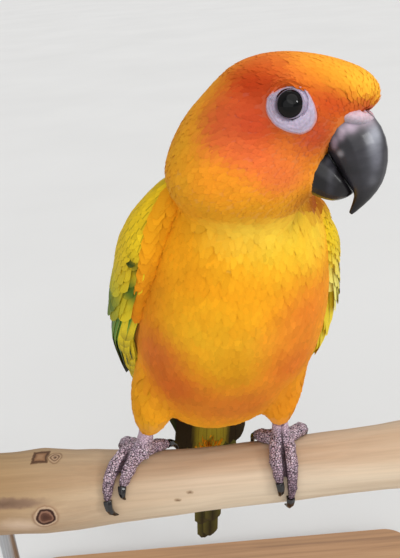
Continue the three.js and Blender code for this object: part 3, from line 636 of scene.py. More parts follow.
def wing_lump(side, end=0.86, sunk=1.9, thinnest=0.6, rows=30, count=28):
    """The wing's flesh, sunk some mm under its feathers and shorter than they are."""
    middle, half, outward, bulge, depth = wing_section(side, np.linspace(0, end, rows))
    reach = np.linalg.norm(half, axis=-1, keepdims=True)
    rings = []
    for angle in np.arange(count) * 2 * math.pi / count:
        height = np.maximum(bulge - sunk, thinnest) if math.sin(angle) > 0 else depth
        ahead = half / reach * (reach - sunk) * math.cos(angle)
        rings.append(middle + ahead + outward * height * math.sin(angle))
    return extruded("wing_lump", in_frame(np.stack(rings, axis=1)))


print("cross-sections of a wing:", len(WING_ROWS))

# %% [markdown]
# The tail hangs behind the branch, a little to one side. One straight line from its root
# to its tip carries all its feathers, so it is easy to turn as a whole. A short flat lump
# of flesh fills its root from within, made from rings as the lump of a wing is.

# %% Root of the tail
TAIL_ROOT, TAIL_TIP = np.array([1, 19, 24]), np.array([-6.2, 64, -90])
TAIL_LENGTH = np.linalg.norm(TAIL_TIP - TAIL_ROOT)
TAIL_AXIS = unit(TAIL_TIP - TAIL_ROOT)
TAIL_LEFT = unit(BODY_LEFT - TAIL_AXIS * (BODY_LEFT @ TAIL_AXIS))
TAIL_BACK = np.cross(TAIL_AXIS, TAIL_LEFT)
TAIL_BACK = TAIL_BACK * (1 if TAIL_BACK[1] > 0 else -1)
# Place of the middle, half width and half depth of the flesh at the tail's root.
TAIL_ROWS = [
    [2.2, 12, 42, 8.4, 3.8],
    [1.2, 18, 26, 11, 4.2],
    [0.2, 23.5, 10, 9.4, 2.8],
    [-1, 29.8, -8, 5.4, 1.2],
]


def tail_lump(rows=12, count=20):
    row = row_at(TAIL_ROWS, np.linspace(0, 1, rows))
    rings = []
    for angle in np.arange(count) * 2 * math.pi / count:
        aside = TAIL_LEFT * math.cos(angle) * row[:, 3:4]
        behind = TAIL_BACK * math.sin(angle) * row[:, 4:5]
        rings.append(row[:, :3] + aside + behind)
    return extruded("tail_lump", in_frame(np.stack(rings, axis=1)))


print("tail from root to tip:", round(float(TAIL_LENGTH)), "mm")

# %% [markdown]
# The skin is one closed surface with no seam, although the solids under it were cut
# into head, neck, torso and thighs. Copies of those solids and the smooth lumps of the
# wings and the tail are joined, and a voxel remesh melts them into one form. It is
# smoothed and drawn inwards by the depth of the coat, which is deeper on the body than
# on the face. The feathers of the face run up onto the bill, so the rear of the bill,
# a little swollen and cut off where they end, is melted in as well. Otherwise a dark
# crevice would open between the feathers and the horn.

# %% The skin
# Depth of the coat in mm, and the heights on the head between which it changes.
COAT_DEPTH = {"crown": 0.2, "face": 0.7, "body": 1.5}
BODY_TO_FACE, FACE_TO_CROWN = (-24, -8), (8, 14)
FLESH = ("torso", "neck", "head", "thigh_left", "thigh_right")
SKIN_VOXEL, SKIN_ROUNDS = 0.9, 14
# Height on the head, and how far forward the coat reaches over the root of the bill there.
FEATHER_EDGE = [
    (-13, 14.0), (-10, 14.4), (-8, 14.8), (-5, 15.0), (-2, 15.4), (-0.6, 15.6), (1.2, 17.0),
    (4, 18.5), (6, 19.2),
]
# The rear of the bill in mm: how much it is swollen, between which heights the swelling
# fades, how far it reaches past the feathers' edge, how far ahead of that edge the bill's
# front begins, and the lowest place kept of the front and of the rear.
ROOT_LUMP = {"swell": 0.95, "fade": (5.5, 3.5), "past": 0.9, "ahead": 2.5, "front": -8, "rear": -14}
LUMP_VOXEL, LUMP_ROUNDS = 0.5, 2


def edge_reach(up):
    return np.interp(up, *zip(*FEATHER_EDGE))


def bill_root_lump():
    """The rear of the bill, a little swollen and cut off where the feathers end."""
    lump = merged_copy("bill_root_lump", "bill_upper", "bill_lower")
    lump = remeshed(lump, LUMP_VOXEL, LUMP_ROUNDS)
    places = places_of(lump)
    swell = ROOT_LUMP["swell"] * smooth(*ROOT_LUMP["fade"], head_coordinates(places)[2])
    forward, left, up = head_coordinates(places + normals_of(lump) * swell[:, None] * MM)
    in_front = forward > edge_reach(up) + ROOT_LUMP["ahead"]
    up = np.where(in_front, np.maximum(up, ROOT_LUMP["front"]), np.maximum(up, ROOT_LUMP["rear"]))
    forward = np.minimum(forward, edge_reach(up) + ROOT_LUMP["past"])
    move_vertices(lump, on_head(*(x[:, None] for x in (forward, left, up))))
    return lump


def surface_tree(*things):
    """For quick questions such as which point is nearest."""
    points, faces = [], []
    for thing in things:
        start = len(points)
        points += [v.co.copy() for v in thing.data.vertices]
        faces += [[start + i for i in p.vertices] for p in thing.data.polygons]
    return BVHTree.FromPolygons(points, faces)


def coat_depth(up):
    """Depth of the coat in mm at heights on the head and below it."""
    body, face, crown = (COAT_DEPTH[part] for part in ("body", "face", "crown"))
    depth = body + (face - body) * smooth(*BODY_TO_FACE, up)
    return depth + (crown - face) * smooth(*FACE_TO_CROWN, up)


wing_lumps = [wing_lump(side) for side in SIDES.values()]
WING_TREE = surface_tree(*wing_lumps)
skin = joined("skin", [merged_copy("skin", *FLESH), *wing_lumps, tail_lump(), bill_root_lump()])
skin = remeshed(skin, SKIN_VOXEL, SKIN_ROUNDS)
depth = coat_depth(head_coordinates(places_of(skin))[2])
move_vertices(skin, places_of(skin) - normals_of(skin) * depth[:, None] * MM)
paint(skin, "plumage", plumage_colour(places_of(skin)))
SKIN_TREE = surface_tree(skin)
print("skin faces:", len(skin.data.polygons))

# %% [markdown]
# A feather is a thin vane. Its upper face is a small grid of points, and a keel of
# points below closes it into a solid. Thousands are built at once from arrays, which is
# quick and gives one mesh for each coat. Two maps go with it: one tells each point of a
# vane where it lies on its own feather, for the fine barbs in the finish, and the other,
# OFBake, gives each feather a tiny patch at its root's place on an unwrap of the body.

# %% Building many vanes at once
# Size of a feather's patch on the OFBake map.
PATCH = 0.003
# Places across a vane, from one edge over the shaft to the other.
FEW = (-1, -0.5, 0, 0.5, 1)
SOME = (-1, -0.68, -0.34, 0, 0.34, 0.68, 1)
MANY = (-1, -0.93, -0.75, -0.4, 0, 0.4, 0.75, 0.93, 1)
STIFF = (-1, -0.86, -0.45, -0.04, 0.04, 0.45, 0.86, 1)
# Rows along the vane, places across it, ragged and rounded tip, width at the root, and how
# far down the vane is widest.
FACE_VANE = {"rows": 3, "columns": FEW, "ragged": 0.05, "rounding": 0.36,
             "root": 0.6, "swell": 0.8}
BODY_VANE = {"rows": 4, "columns": SOME, "ragged": 0.07, "rounding": 0.42,
             "root": 0.5, "swell": 0.8}
COVERT_VANE = {"rows": 7, "columns": MANY, "ragged": 0.012, "rounding": 0.3,
               "root": 0.6, "swell": 0.7}
FLIGHT_VANE = {"rows": 16, "columns": STIFF, "ragged": 0.006, "rounding": 0.07,
               "root": 0.7, "swell": 0.6}
TAIL_VANE = {"rows": 18, "columns": STIFF, "ragged": 0.006, "rounding": 0.05,
             "root": 0.66, "swell": 1.0}
# How square a tip is, how soon a vane narrows again, how thin its keel ends, the turn in
# degrees past which an edge stays sharp, and a short step along a vane to take its slope.
TIP_SQUARE, NARROWING, KEEL_END, SHARP, STEP = 2.2, 0.62, 0.45, 50, 0.02
# Where along a feather the way out of the coat is taken.
COAT_UP_AT = 0.7


def darker_root(u, dark=0.94, until=0.75):
    """How bright a feather is along its length. The one above shades its root."""
    return (dark + (1 - dark) * smooth(0.1, until, u))[..., None]


def vane_faces(along, across):
    def top(i, j):
        return i * (across + 1) + j

    def keel(i):
        return (along + 1) * (across + 1) + i

    faces = []
    for i in range(along):
        for j in range(across):
            faces.append((top(i, j), top(i, j + 1), top(i + 1, j + 1), top(i + 1, j)))
        faces.append((top(i, 0), top(i + 1, 0), keel(i + 1), keel(i)))
        faces.append((top(i, across), keel(i), keel(i + 1), top(i + 1, across)))
    faces += [(keel(0), top(0, j + 1), top(0, j)) for j in range(across)]
    faces += [(keel(along), top(along, j), top(along, j + 1)) for j in range(across)]
    return faces


def vane_mesh(name, tops, keels, top_colours, keel_colours, marks, roots):
    """One mesh of many vanes. tops: feathers, rows, columns, 3. keels: feathers, rows, 3."""
    count, rows, columns = tops.shape[:3]
    middle = columns // 2
    points = np.concatenate([tops.reshape(count, -1, 3), keels], axis=1)
    tints = np.concatenate([top_colours.reshape(count, -1, 3), keel_colours], axis=1)
    spots = np.concatenate([marks.reshape(count, -1, 2), marks[:, :, middle]], axis=1)
    size = np.maximum(np.ptp(spots, axis=1), 1e-6)[:, None]
    patches = roots[:, None] + (spots - spots.mean(axis=1, keepdims=True)) / size * PATCH
    # Every vane has the same faces, each counted on from the vane's first point.
    faces = vane_faces(rows - 1, columns - 1)
    sizes = np.tile([len(f) for f in faces], count)
    corners = np.concatenate([np.array(f) for f in faces])
    loops = (np.arange(count)[:, None] * points.shape[1] + corners[None]).ravel()
    starts = np.concatenate([[0], np.cumsum(sizes)[:-1]])
    mesh = bpy.data.meshes.new(name)
    mesh.vertices.add(points.shape[0] * points.shape[1])
    mesh.vertices.foreach_set("co", points.astype(np.float32).ravel())
    mesh.loops.add(len(loops))
    mesh.loops.foreach_set("vertex_index", loops.astype(np.int32))
    mesh.polygons.add(len(sizes))
    mesh.polygons.foreach_set("loop_start", starts.astype(np.int32))
    mesh.update(calc_edges=True)
    for label, values in (("vane", spots), ("OFBake", np.clip(patches, 0, 1))):
        layer = mesh.uv_layers.new(name=label)
        layer.data.foreach_set("uv", values.reshape(-1, 2)[loops].astype(np.float32).ravel())
    thing = placed(name, mesh)
    paint(thing, "plumage", tints.reshape(-1, 3))
    only(thing)
    bpy.ops.object.shade_smooth_by_angle(angle=math.radians(SHARP))
    print(name, count, "feathers,", int((sizes - 2).sum()), "triangles")
    return thing


def feathers(name, line, over, length, width, vane, tint, roots, thick, cup=0.1, back=0.9,
             tilt=0.0):
    """Vanes along given lines. line(t) and over(t) give points and ways up for t from 0 to 1.

    cup bends both edges down, tilt one down and one up, and back is how bright the keel is.
    """
    count = len(length)
    v = np.array(vane["columns"])[None, None, :]
    across = v.shape[2] - 1
    teeth = vane["ragged"] * (np.arange(across + 1) % 2)
    teeth = teeth * rng.uniform(0.3, 1.5, (count, 1, across + 1))
    reach = 1 - vane["rounding"] * np.abs(v) ** TIP_SQUARE - teeth
    u = np.linspace(0, 1, vane["rows"])[None, :, None] * reach
    belly = np.sin(np.pi * np.clip(u, 0, 1) ** vane["swell"] * NARROWING)
    share = vane["root"] + (1 - vane["root"]) * belly
    v = v * np.ones_like(u)
    middle = line(u)
    slope = unit(line(np.minimum(u + STEP, 1 + STEP)) - line(u - STEP))
    sideways = unit(np.cross(slope, over(u)))
    normal = np.cross(sideways, slope)
    half = share * v * (width / 2)[:, None, None]
    dip = (cup * v ** 2 - tilt * v) * share * width[:, None, None]
    tops = middle + (sideways * half[..., None] - normal * dip[..., None]) * MM
    centre = across // 2
    taper = np.linspace(1, KEEL_END, vane["rows"])[None, :, None]
    keels = tops[:, :, centre] - normal[:, :, centre] * taper * thick * MM
    marks = np.stack([half, u * length[:, None, None]], axis=-1)
    colours = np.clip(tint(tops, u, v), 0, 1)
    thing = vane_mesh(name, tops, keels, colours, colours[:, :, centre] * back, marks, roots)
    # The way out of the coat, kept at the corners of the upper faces and zero on the others,
    # in the order of vane_faces: each row's upper faces and two side faces, then both ends.
    upward = over(np.full((count, 1, 1), COAT_UP_AT))[:, 0, 0]
    on_top = np.array(([1] * 4 * across + [0] * 8) * (vane["rows"] - 1) + [0] * 6 * across)
    upward = upward[:, None] * on_top[None, :, None]
    coat_up = thing.data.attributes.new("coat_up", "FLOAT_VECTOR", "CORNER")
    coat_up.data.foreach_set("vector", upward.astype(np.float32).ravel())
    return thing


# %% [markdown]
# The small body feathers grow on the skin. Roots are scattered with an even spacing,
# closest on the face, and each feather leans the way the coat lies: back from the bill
# over the head, then down the body to the tail. It starts just under the skin and its
# tip rests a little above the skin further on, so that rows overlap like roof tiles.

# %% Scattering roots on the skin
# Trial points for each root that is kept.
TRIALS = 3.2


def scatter(thing, spacing, wanted, seed):
    """Points at least spacing(point) apart on the faces where wanted(point) is true."""
    draw = np.random.default_rng(seed)
    mesh = thing.data
    mesh.calc_loop_triangles()
    corners = np.empty(len(mesh.loop_triangles) * 3, np.int32)
    mesh.loop_triangles.foreach_get("vertices", corners)
    corners = corners.reshape(-1, 3)
    places, normals = places_of(thing), normals_of(thing)
    a, b, c = (places[corners[:, i]] for i in range(3))
    area = np.linalg.norm(np.cross(b - a, c - a), axis=1) / 2
    weight = area / (spacing((a + b + c) / 3) * MM) ** 2
    total = int(weight.sum() * TRIALS)
    pick = draw.choice(len(area), total, p=weight / weight.sum())
    r1, r2 = np.sqrt(draw.random(total)), draw.random(total)
    shares = np.stack([1 - r1, r1 * (1 - r2), r1 * r2], axis=1)[..., None]
    points = (places[corners[pick]] * shares).sum(axis=1)
    around = unit((normals[corners[pick]] * shares).sum(axis=1))
    chosen = wanted(points)
    points, around = points[chosen], around[chosen]
    gap = spacing(points) * MM
    # Points already kept are looked up by the cube they lie in, so that only near ones count.
    cells, kept = {}, []
    neighbours = [(i, j, k) for i in (-1, 0, 1) for j in (-1, 0, 1) for k in (-1, 0, 1)]
    for index, (x, y, z) in enumerate(np.floor(points / gap.max()).astype(int).tolist()):
        others = [o for i, j, k in neighbours for o in cells.get((x + i, y + j, z + k), ())]
        if others:
            offset = points[others] - points[index]
            if (offset * offset).sum(axis=1).min() < gap[index] ** 2:
                continue
        cells.setdefault((x, y, z), []).append(index)
        kept.append(index)
    return points[kept], around[kept]


NAPE, RUMP = np.array([14.5, -33, 128]), np.array([1.8, 14, 28])
SPINE_DOWN = unit(RUMP - NAPE)
BILL_ROOT = on_head(25, 0, 3)
BILL_TREE = surface_tree(merged_copy("copy_bill", "bill_upper", "bill_lower"))
# The eye's place on the head, its radius, and the radius of the part that shows.
EYE = {"forward": 8.3, "up": 7.6, "radius": 3.7, "showing": 2.8}
# The cere's place on the head, and half its length, width and height.
CERE = {"forward": 20.0, "up": 6.6, "ahead": 4.6, "half": 7.7, "high": 2.55}
# The rim of the bare eye ring: directions from the eye's middle, forward being 0 degrees
# and up 90, and the distance in mm to the rim there. It is longest down towards the bill.
RING_RIM = [
    (-180, 4.95), (-170, 4.95), (-154, 4.95), (-132, 5.0), (-98, 5.55), (-79, 6.2), (-60, 6.9),
    (-44, 6.95), (-24, 6.4), (0, 5.4), (20, 4.8), (57, 4.25), (88, 3.9), (119, 3.8), (145, 4.05),
    (160, 4.6), (171, 5.1), (180, 4.95),
]
# Closer to the horn than this, in mm, no feather grows, unless it stands behind the edge.
HORN_CLEAR = 0.25
# Closer to the flesh of a wing than this, in mm, the body's feathers give way to the wing's.
WING_CLEAR = 2.6
# The middle line of the back is unwrapped from this height on, over this length.
UNWRAP_TOP, UNWRAP_LENGTH = 128, 160


def head_share(points):
    return smooth(-22, -12, head_coordinates(points)[2])


def lie(points, normals):
    """The way the coat lies: back from the bill on the head, down towards the tail below."""
    forward = head_coordinates(points)[0]
    back = unit(points - BILL_ROOT) - (0.2 + 1.3 * smooth(2, -16, forward))[:, None] * HEAD_UP
    share = head_share(points)[:, None]
    height = on_body_frame(points)[:, 2]
    low = smooth(62, 40, height)[:, None]
    tail = smooth(34, 24, height)[:, None] * smooth(8, 16, on_body_frame(points)[:, 1])[:, None]
    down = SPINE_DOWN * (1 - 0.5 * low) + np.array([0, 0, -0.5]) * low
    down = down * (1 - tail) + TAIL_AXIS * tail
    direction = unit(back) * share + down * (1 - share)
    return unit(direction - normals * dot(direction, normals)[:, None])


def mottle(points, size, seed):
    """Soft unevenness between -1 and 1, with lumps of about the given size in mm."""
    return np.array([noise.noise(Vector(p / MM / size) + Vector((seed, 0, 0))) for p in points])


def body_unwrap(points):
    """Angle round the body's middle line, and height along it."""
    place = on_body_frame(points)
    down = (UNWRAP_TOP - place[:, 2]) / UNWRAP_LENGTH
    axis = row_at(BACK_AXIS_ROWS, down)[:, 1:] + np.array([0, -12])
    turn = np.arctan2(place[:, 0] - axis[:, 0], axis[:, 1] - place[:, 1])
    height = np.clip((place[:, 2] + 100) / 270, 0.01, 0.99)
    return np.stack([turn / (2 * np.pi) * 0.96 + 0.5, height], axis=1)


def distance_to(tree, points, reach):
    """Distance in mm to the nearest point of a surface, or the reach where that is less."""
    found = np.full(len(points), float(reach))
    for i, p in enumerate(points):
        hit = tree.find_nearest(Vector(p), reach * MM)
        if hit[0] is not None:
            found[i] = hit[3] / MM
    return found


def ring_reach(turn):
    angle, reach = np.array(RING_RIM).T
    return np.interp(np.degrees(np.angle(np.exp(1j * turn))), angle, reach)


def in_ring(points, margin):
    """True where a point lies in the bare ring round an eye, by more than a margin in mm."""
    forward, left, up = head_coordinates(points)
    forward, up = forward - EYE["forward"], up - EYE["up"]
    inside = np.hypot(forward, up) < ring_reach(np.arctan2(up, forward)) - margin
    return inside & (np.abs(left) > 6)


def on_cere(points):
    """True on the cere, which dips in the middle between the nostrils."""
    forward, left, up = head_coordinates(points)
    dip = 1.3 * np.exp(-(left / 2.6) ** 2)
    run = ((forward - CERE["forward"]) / 5) ** 2 + (left / 7.4) ** 2
    return run + ((up + dip - CERE["up"] + 0.8) / 2.3) ** 2 < 1


def behind_edge(points):
    """True at the sides of the bill's root, where the feathers run up onto the horn."""
    forward, left, up = head_coordinates(points)
    return (forward < edge_reach(up) + 0.3) & (np.abs(left) > 2) & (up < 5.5) & ~on_cere(points)


def bare(points):
    """True round the eyes, on the cere and at the root of the bill, where no feather grows."""
    on_horn = (distance_to(BILL_TREE, points, 2) < HORN_CLEAR) & ~behind_edge(points)
    return in_ring(points, 0.1) | on_cere(points) | on_horn


def forehead(points):
    """How much further the coat stands out over the crown and forehead, in mm."""
    forward, _, up = head_coordinates(points)
    brow = 0.9 * np.exp(-((forward - 21.5) / 6) ** 2 - ((up - 12.5) / 5.5) ** 2)
    return (0.35 * smooth(8, 15, up) + brow) * (0.3 + 0.7 * smooth(8, 12, up))


def spacing(points):
    """Millimetres between roots: closest at the bill, wider at the nape, widest on the body."""
    face = 0.68 + 0.3 * smooth(12, -16, head_coordinates(points)[0])
    return np.where(head_share(points) > 0.5, face, 1.03)


def on_body(points):
    return (distance_to(WING_TREE, points, 3) > WING_CLEAR) & ~bare(points)


roots, around = scatter(skin, spacing, on_body, 5)
on_face = head_share(roots) > 0.5
print("roots:", len(roots), "of them on the head:", int(on_face.sum()))


# %% [markdown]
# Each root now gets its feather. Feathers grow longer and wider from bill to nape and
# from breast to belly, and each is turned and tinted a little at random, as no two are
# alike. One that would end on the bare eye ring is shortened, or left out if too little
# of it is left. The coat stands out further over the forehead, which would leave hollows
# under its tips, so three more thin coats fill the crown below the one that is seen.

# %% The coat of small feathers
# Degrees by which feathers lean off the way the coat lies, and how unevenly they are tinted.
LEAN, UNEVEN = 7, 0.035
# Millimetres by which a root sits under the skin, and the ring is kept clear of tips.
ROOT_SUNK, RING_CLEAR = 0.25, 0.35
FACE_THICK, BODY_THICK = 0.05, 0.08


def face_size(points):
    """Length and width of feathers on the head, in mm."""
    back = smooth(20, -18, head_coordinates(points)[0])
    return 2.3 + 3.0 * back + 1.2 * forehead(points), 1.2 + 1.0 * back


def body_size(points):
    """As above on the body: long under the tail, short where the belly meets the feet."""
    _, y, z = on_body_frame(points).T
    low = smooth(100, 50, z)
    under_tail = smooth(36, 22, z) * smooth(4, 14, y)
    lowest = smooth(37, 30, z) * smooth(8, 2, y)
    length = 5.8 + 3.6 * low + 4 * under_tail - 4.6 * lowest
    return length, 2.5 + 0.9 * low + under_tail - 0.6 * lowest


def face_lift(points):
    """Height of a tip over the skin, in mm. It is least on the crown."""
    forward, _, up = head_coordinates(points)
    return (0.14 + 0.14 * smooth(10, -18, forward)) * (1 - 0.7 * smooth(6, 11, up))


def body_lift(points):
    return 0.45 + 0.4 * smooth(90, 50, on_body_frame(points)[:, 2])


def coat(name, roots, around, size, lift, vane, slot, layer=1.0):
    """A coat of feathers on the skin. layer is how far up the forehead's rise it lies."""
    way = lie(roots, around)
    turn = np.radians(rng.normal(0, LEAN, len(roots)))[:, None]
    way = way * np.cos(turn) + np.cross(way, around) * np.sin(turn)
    length = size(roots)[0] * rng.uniform(0.86, 1.16, len(roots))
    kept = np.ones(len(roots))
    for reach in (1.0, 0.8, 0.6, 0.45, 0.3):
        kept[in_ring(roots + way * (reach * length)[:, None] * MM, RING_CLEAR)] = reach - 0.15
    clear = kept > 0.2
    roots, around, way, kept, length = (x[clear] for x in (roots, around, way, kept, length))
    count = len(roots)
    length = length * kept
    width = size(roots)[1] * rng.uniform(0.88, 1.12, count) * (0.5 + 0.5 * kept)
    raised = forehead(roots) * layer
    start = roots + around * (raised - ROOT_SUNK)[:, None] * MM
    hits = [SKIN_TREE.find_nearest(Vector(p)) for p in roots + way * length[:, None] * MM]
    ends = np.array([hit[0] for hit in hits])
    outs = np.array([hit[1] for hit in hits])
    rise = lift(roots) * rng.uniform(0.8, 1.2, count) + forehead(ends) * layer
    tip = ends + outs * rise[:, None] * MM
    arch = 0.05 * length + 0.1 * lift(roots)
    bend = (start + tip) / 2 + (around + outs) * arch[:, None] * MM
    above = unit(around + outs)[:, None, None]
    start, bend, tip = (x[:, None, None] for x in (start, bend, tip))

    def line(t):
        t = t[..., None]
        return (1 - t) ** 2 * start + 2 * t * (1 - t) * bend + t * t * tip

    def over(t):
        return above * np.ones_like(t[..., None])

    own = plumage_colour(tip[:, 0, 0])
    own = own * (1 + rng.normal(0, UNEVEN, count) + 0.08 * mottle(roots, 7, 3.1))[:, None]
    warmer = (0.5 + mottle(roots, 5, 9.7) + rng.normal(0, 0.2, count))[:, None]
    own = own * (1 + np.array([0.0, -0.06, -0.1]) * warmer)

    def tint(tops, u, v):
        return own[:, None, None] * darker_root(u)

    thick = FACE_THICK if vane is FACE_VANE else BODY_THICK
    thing = feathers(name, line, over, length, width, vane, tint, body_unwrap(roots), thick,
                     cup=0.13)
    return keep(thing, slot)


FACE_COAT = (face_size, face_lift, FACE_VANE, "head_plumage")
BODY_COAT = (body_size, body_lift, BODY_VANE, "body_plumage")
WAIST, BODY_MIDDLE = 66, np.array([4, -2, 60])


def part_of_coat(name, chosen, *options):
    return coat(name, roots[chosen], around[chosen], *options)


in_front = dot(roots - in_frame(BODY_MIDDLE), BODY_FRONT) > 0
high = on_body_frame(roots)[:, 2] > WAIST
coat_pieces = [
    part_of_coat("head_feathers", on_face, *FACE_COAT),
    part_of_coat("breast_feathers", ~on_face & in_front & high, *BODY_COAT),
    part_of_coat("belly_feathers", ~on_face & in_front & ~high, *BODY_COAT),
    part_of_coat("back_feathers", ~on_face & ~in_front, *BODY_COAT),
]
on_crown = on_face & (forehead(roots) > 0.2)
for layer in (0.25, 0.5, 0.75):
    name = "crown_underfeathers_%02d" % (layer * 100)
    coat_pieces.append(part_of_coat(name, on_crown, *FACE_COAT, layer))
print("pieces of the coat:", len(coat_pieces))

# %% [markdown]
# The colour changes along and across the folded wing: yellow at the shoulder, green on
# the large coverts, green and blue-black on the long flight feathers. It is sprayed on
# too, but with places counted along and across the wing, so that it stays with the wing
# when the wing's form is changed.

# %% Colours of the wing and tail
WING_BASE = "F0CC26"
# Place along and across the wing, reach along and across, colour, strength.
WING_PATCHES = [
    ((0.08, 0.1), (0.12, 0.3), "F4C824", 0.7),
    ((0.24, 0.16), (0.1, 0.12), "DDBB24", 0.7),
    ((0.38, 0.2), (0.1, 0.12), "B9AC2A", 0.8),
    ((0.40, 0.5), (0.07, 0.5), "A9B22E", 0.7),
    ((0.2, 0.75), (0.25, 0.2), "F2B822", 0.8),
]
RIGHT_WING_PATCHES = [
    ((0.26, 0.045), (0.022, 0.03), "39491A", 1.0),
    ((0.335, 0.03), (0.038, 0.032), "4F6B22", 1.0),
    ((0.52, -0.04), (0.1, 0.09), "E9CF30", 1.0),
]
LEFT_WING_PATCHES = [
    # Painted shadow under the chin, orange-brown, carried over the top of the left wing.
    ((0.055, 0.15), (0.055, 0.3), "BC681C", 1.0),
    # Painted light in part: the left wing's pale yellow front, sprayed brighter against its shade.
    ((0.4, 0.0), (0.12, 0.1), "EFE884", 0.9),
    ((0.5, 0.05), (0.015, 0.02), "6F7F2A", 0.8),
]
FLIGHT_COLOURS = {
    "base": "5F8A2C", "vane": "1D2B30", "tip": "161F2B", "rim": "B8B83A", "covert": "456C29",
    "front": "DCCB30", "edge": "E8CE30",
}
TAIL_COLOURS = {
    "root": "8A8430", "vane": "565A28", "tip": "3C3A2C", "rim": "6A6630",
    "covert_root": "D9B62C", "covert_tip": "A8A030", "under": "A8982C", "under_dark": "2A2418",
}


def wing_colour(side, lengthwise, across):
    place = np.stack([lengthwise, across], axis=-1)
    colour = one_colour(WING_BASE, lengthwise.shape)
    for patch in WING_PATCHES + (LEFT_WING_PATCHES if side > 0 else RIGHT_WING_PATCHES):
        colour = sprayed(colour, place, *patch)
    return colour


def blend(first, second, share):
    return first + (second - first) * np.asarray(share)[..., None]


print("light from the large coverts:", linear(FLIGHT_COLOURS["covert"]).round(2))

# %% [markdown]
# On the folded wing the feathers lie in tiers. Small coverts start at the shoulder and
# grow larger down the wing, and the long flight feathers slide out from under them. Of
# each flight feather only the outer web shows, green with a thin yellow-green rim, over
# dark inner webs. Yellow feathers hang down inside the front edge, and a last few rows
# of breast feathers spread over that edge, so that wing and breast meet without a seam.

# %% Feathers of the wings
# Tiers of coverts: first and last root and step between rows in mm down the wing, length
# and width of a feather in mm, step across in mm, and the part of the wing they cover.
COVERT_TIERS = [
    {"from": 1, "to": 28, "step": 1.7, "length": 6.5, "width": 4.2, "apart": 2.6,
     "across": (-0.25, 1.04)},
    {"from": 27, "to": 36, "step": 3, "length": 11, "width": 5.8, "apart": 3.6,
     "across": (-0.24, 0.98)},
    {"from": 36, "to": 43, "step": 3.5, "length": 16, "width": 7, "apart": 4.2,
     "across": (-0.02, 0.96)},
]
# Where the outer flight feathers end along the wing, and the wing's length in mm.
PRIMARY_TIPS = [1, 0.965, 0.925, 0.88, 0.83, 0.775]
WING_LENGTH = 180
PRIMARY_COUNT = 9
SECONDARY_COUNT = 9
FLIGHT_ROOT = 0.3
# Dark coverts lie over the roots of the outer flight feathers, and yellow feathers hang
# down inside the front edge of the wing.
PRIMARY_COVERT_COUNT = 5
EDGE_COUNT = 9
# Place along the wing, and the place across it where it comes out from under the breast.
WING_FRONT = {
    1: [(0, 0.04), (0.1, -0.08), (0.15, -0.14), (0.25, -0.22), (0.35, -0.24), (0.45, -0.2),
        (0.5, -0.14), (0.6, -0.1)],
    -1: [(0, 0.12), (0.1, 0.03), (0.15, -0.03), (0.2, -0.055), (0.3, -0.05), (0.35, -0.05),
         (0.4, -0.07), (0.5, -0.12)],
}
COVERT_THICK, FLIGHT_THICK = 0.12, 0.2
LARGE_COVERT = 15


def distances(points):
    """Distance in mm along a row of points."""
    steps = np.linalg.norm(np.diff(points, axis=0), axis=1) / MM
    return np.concatenate([[0], np.cumsum(steps)])


def wing_measure(side, across=0.35, count=400):
    """Distance down the wing in mm at many places along it."""
    lengthwise = np.linspace(0, 1, count)
    points, _ = on_wing(side, lengthwise, np.full(count, across), np.zeros(count))
    return lengthwise, distances(points)


def across_at(side, lengthwise, apart, limits, shift, count=300):
    """Places across the wing that are a given distance apart."""
    across = np.linspace(*limits, count)
    points, _ = on_wing(side, np.full(count, lengthwise), across, np.zeros(count))
    run = distances(points)
    return np.interp(np.arange(apart * (0.3 + shift), run[-1], apart), run, across)


def wing_front(side, lengthwise):
    return np.interp(lengthwise, *zip(*WING_FRONT[side]))


# Every row of these tables is one feather: place along the wing and across it at the root
# and the tip as root, tip, across and across, then width and length in mm, and the height
# over the wing at the root and the tip, in mm.
def covert_tier(side, tier):
    lengthwise, distance = wing_measure(side)
    rows = []
    for k, start in enumerate(np.arange(tier["from"], tier["to"] + 0.1, tier["step"])):
        root = np.interp(start, distance, lengthwise)
        limits = np.clip(tier["across"], wing_front(side, root) - 0.01, 2)
        for place in across_at(side, root, tier["apart"], limits, 0.5 * (k % 2)):
            length = tier["length"] * rng.uniform(0.9, 1.1)
            tip = np.interp(start + length, distance, lengthwise)
            end = place + rng.normal(0, 0.008)
            rows.append([root, tip, place, end, tier["width"], length, 0.1, 1.0])
    return np.array(rows)


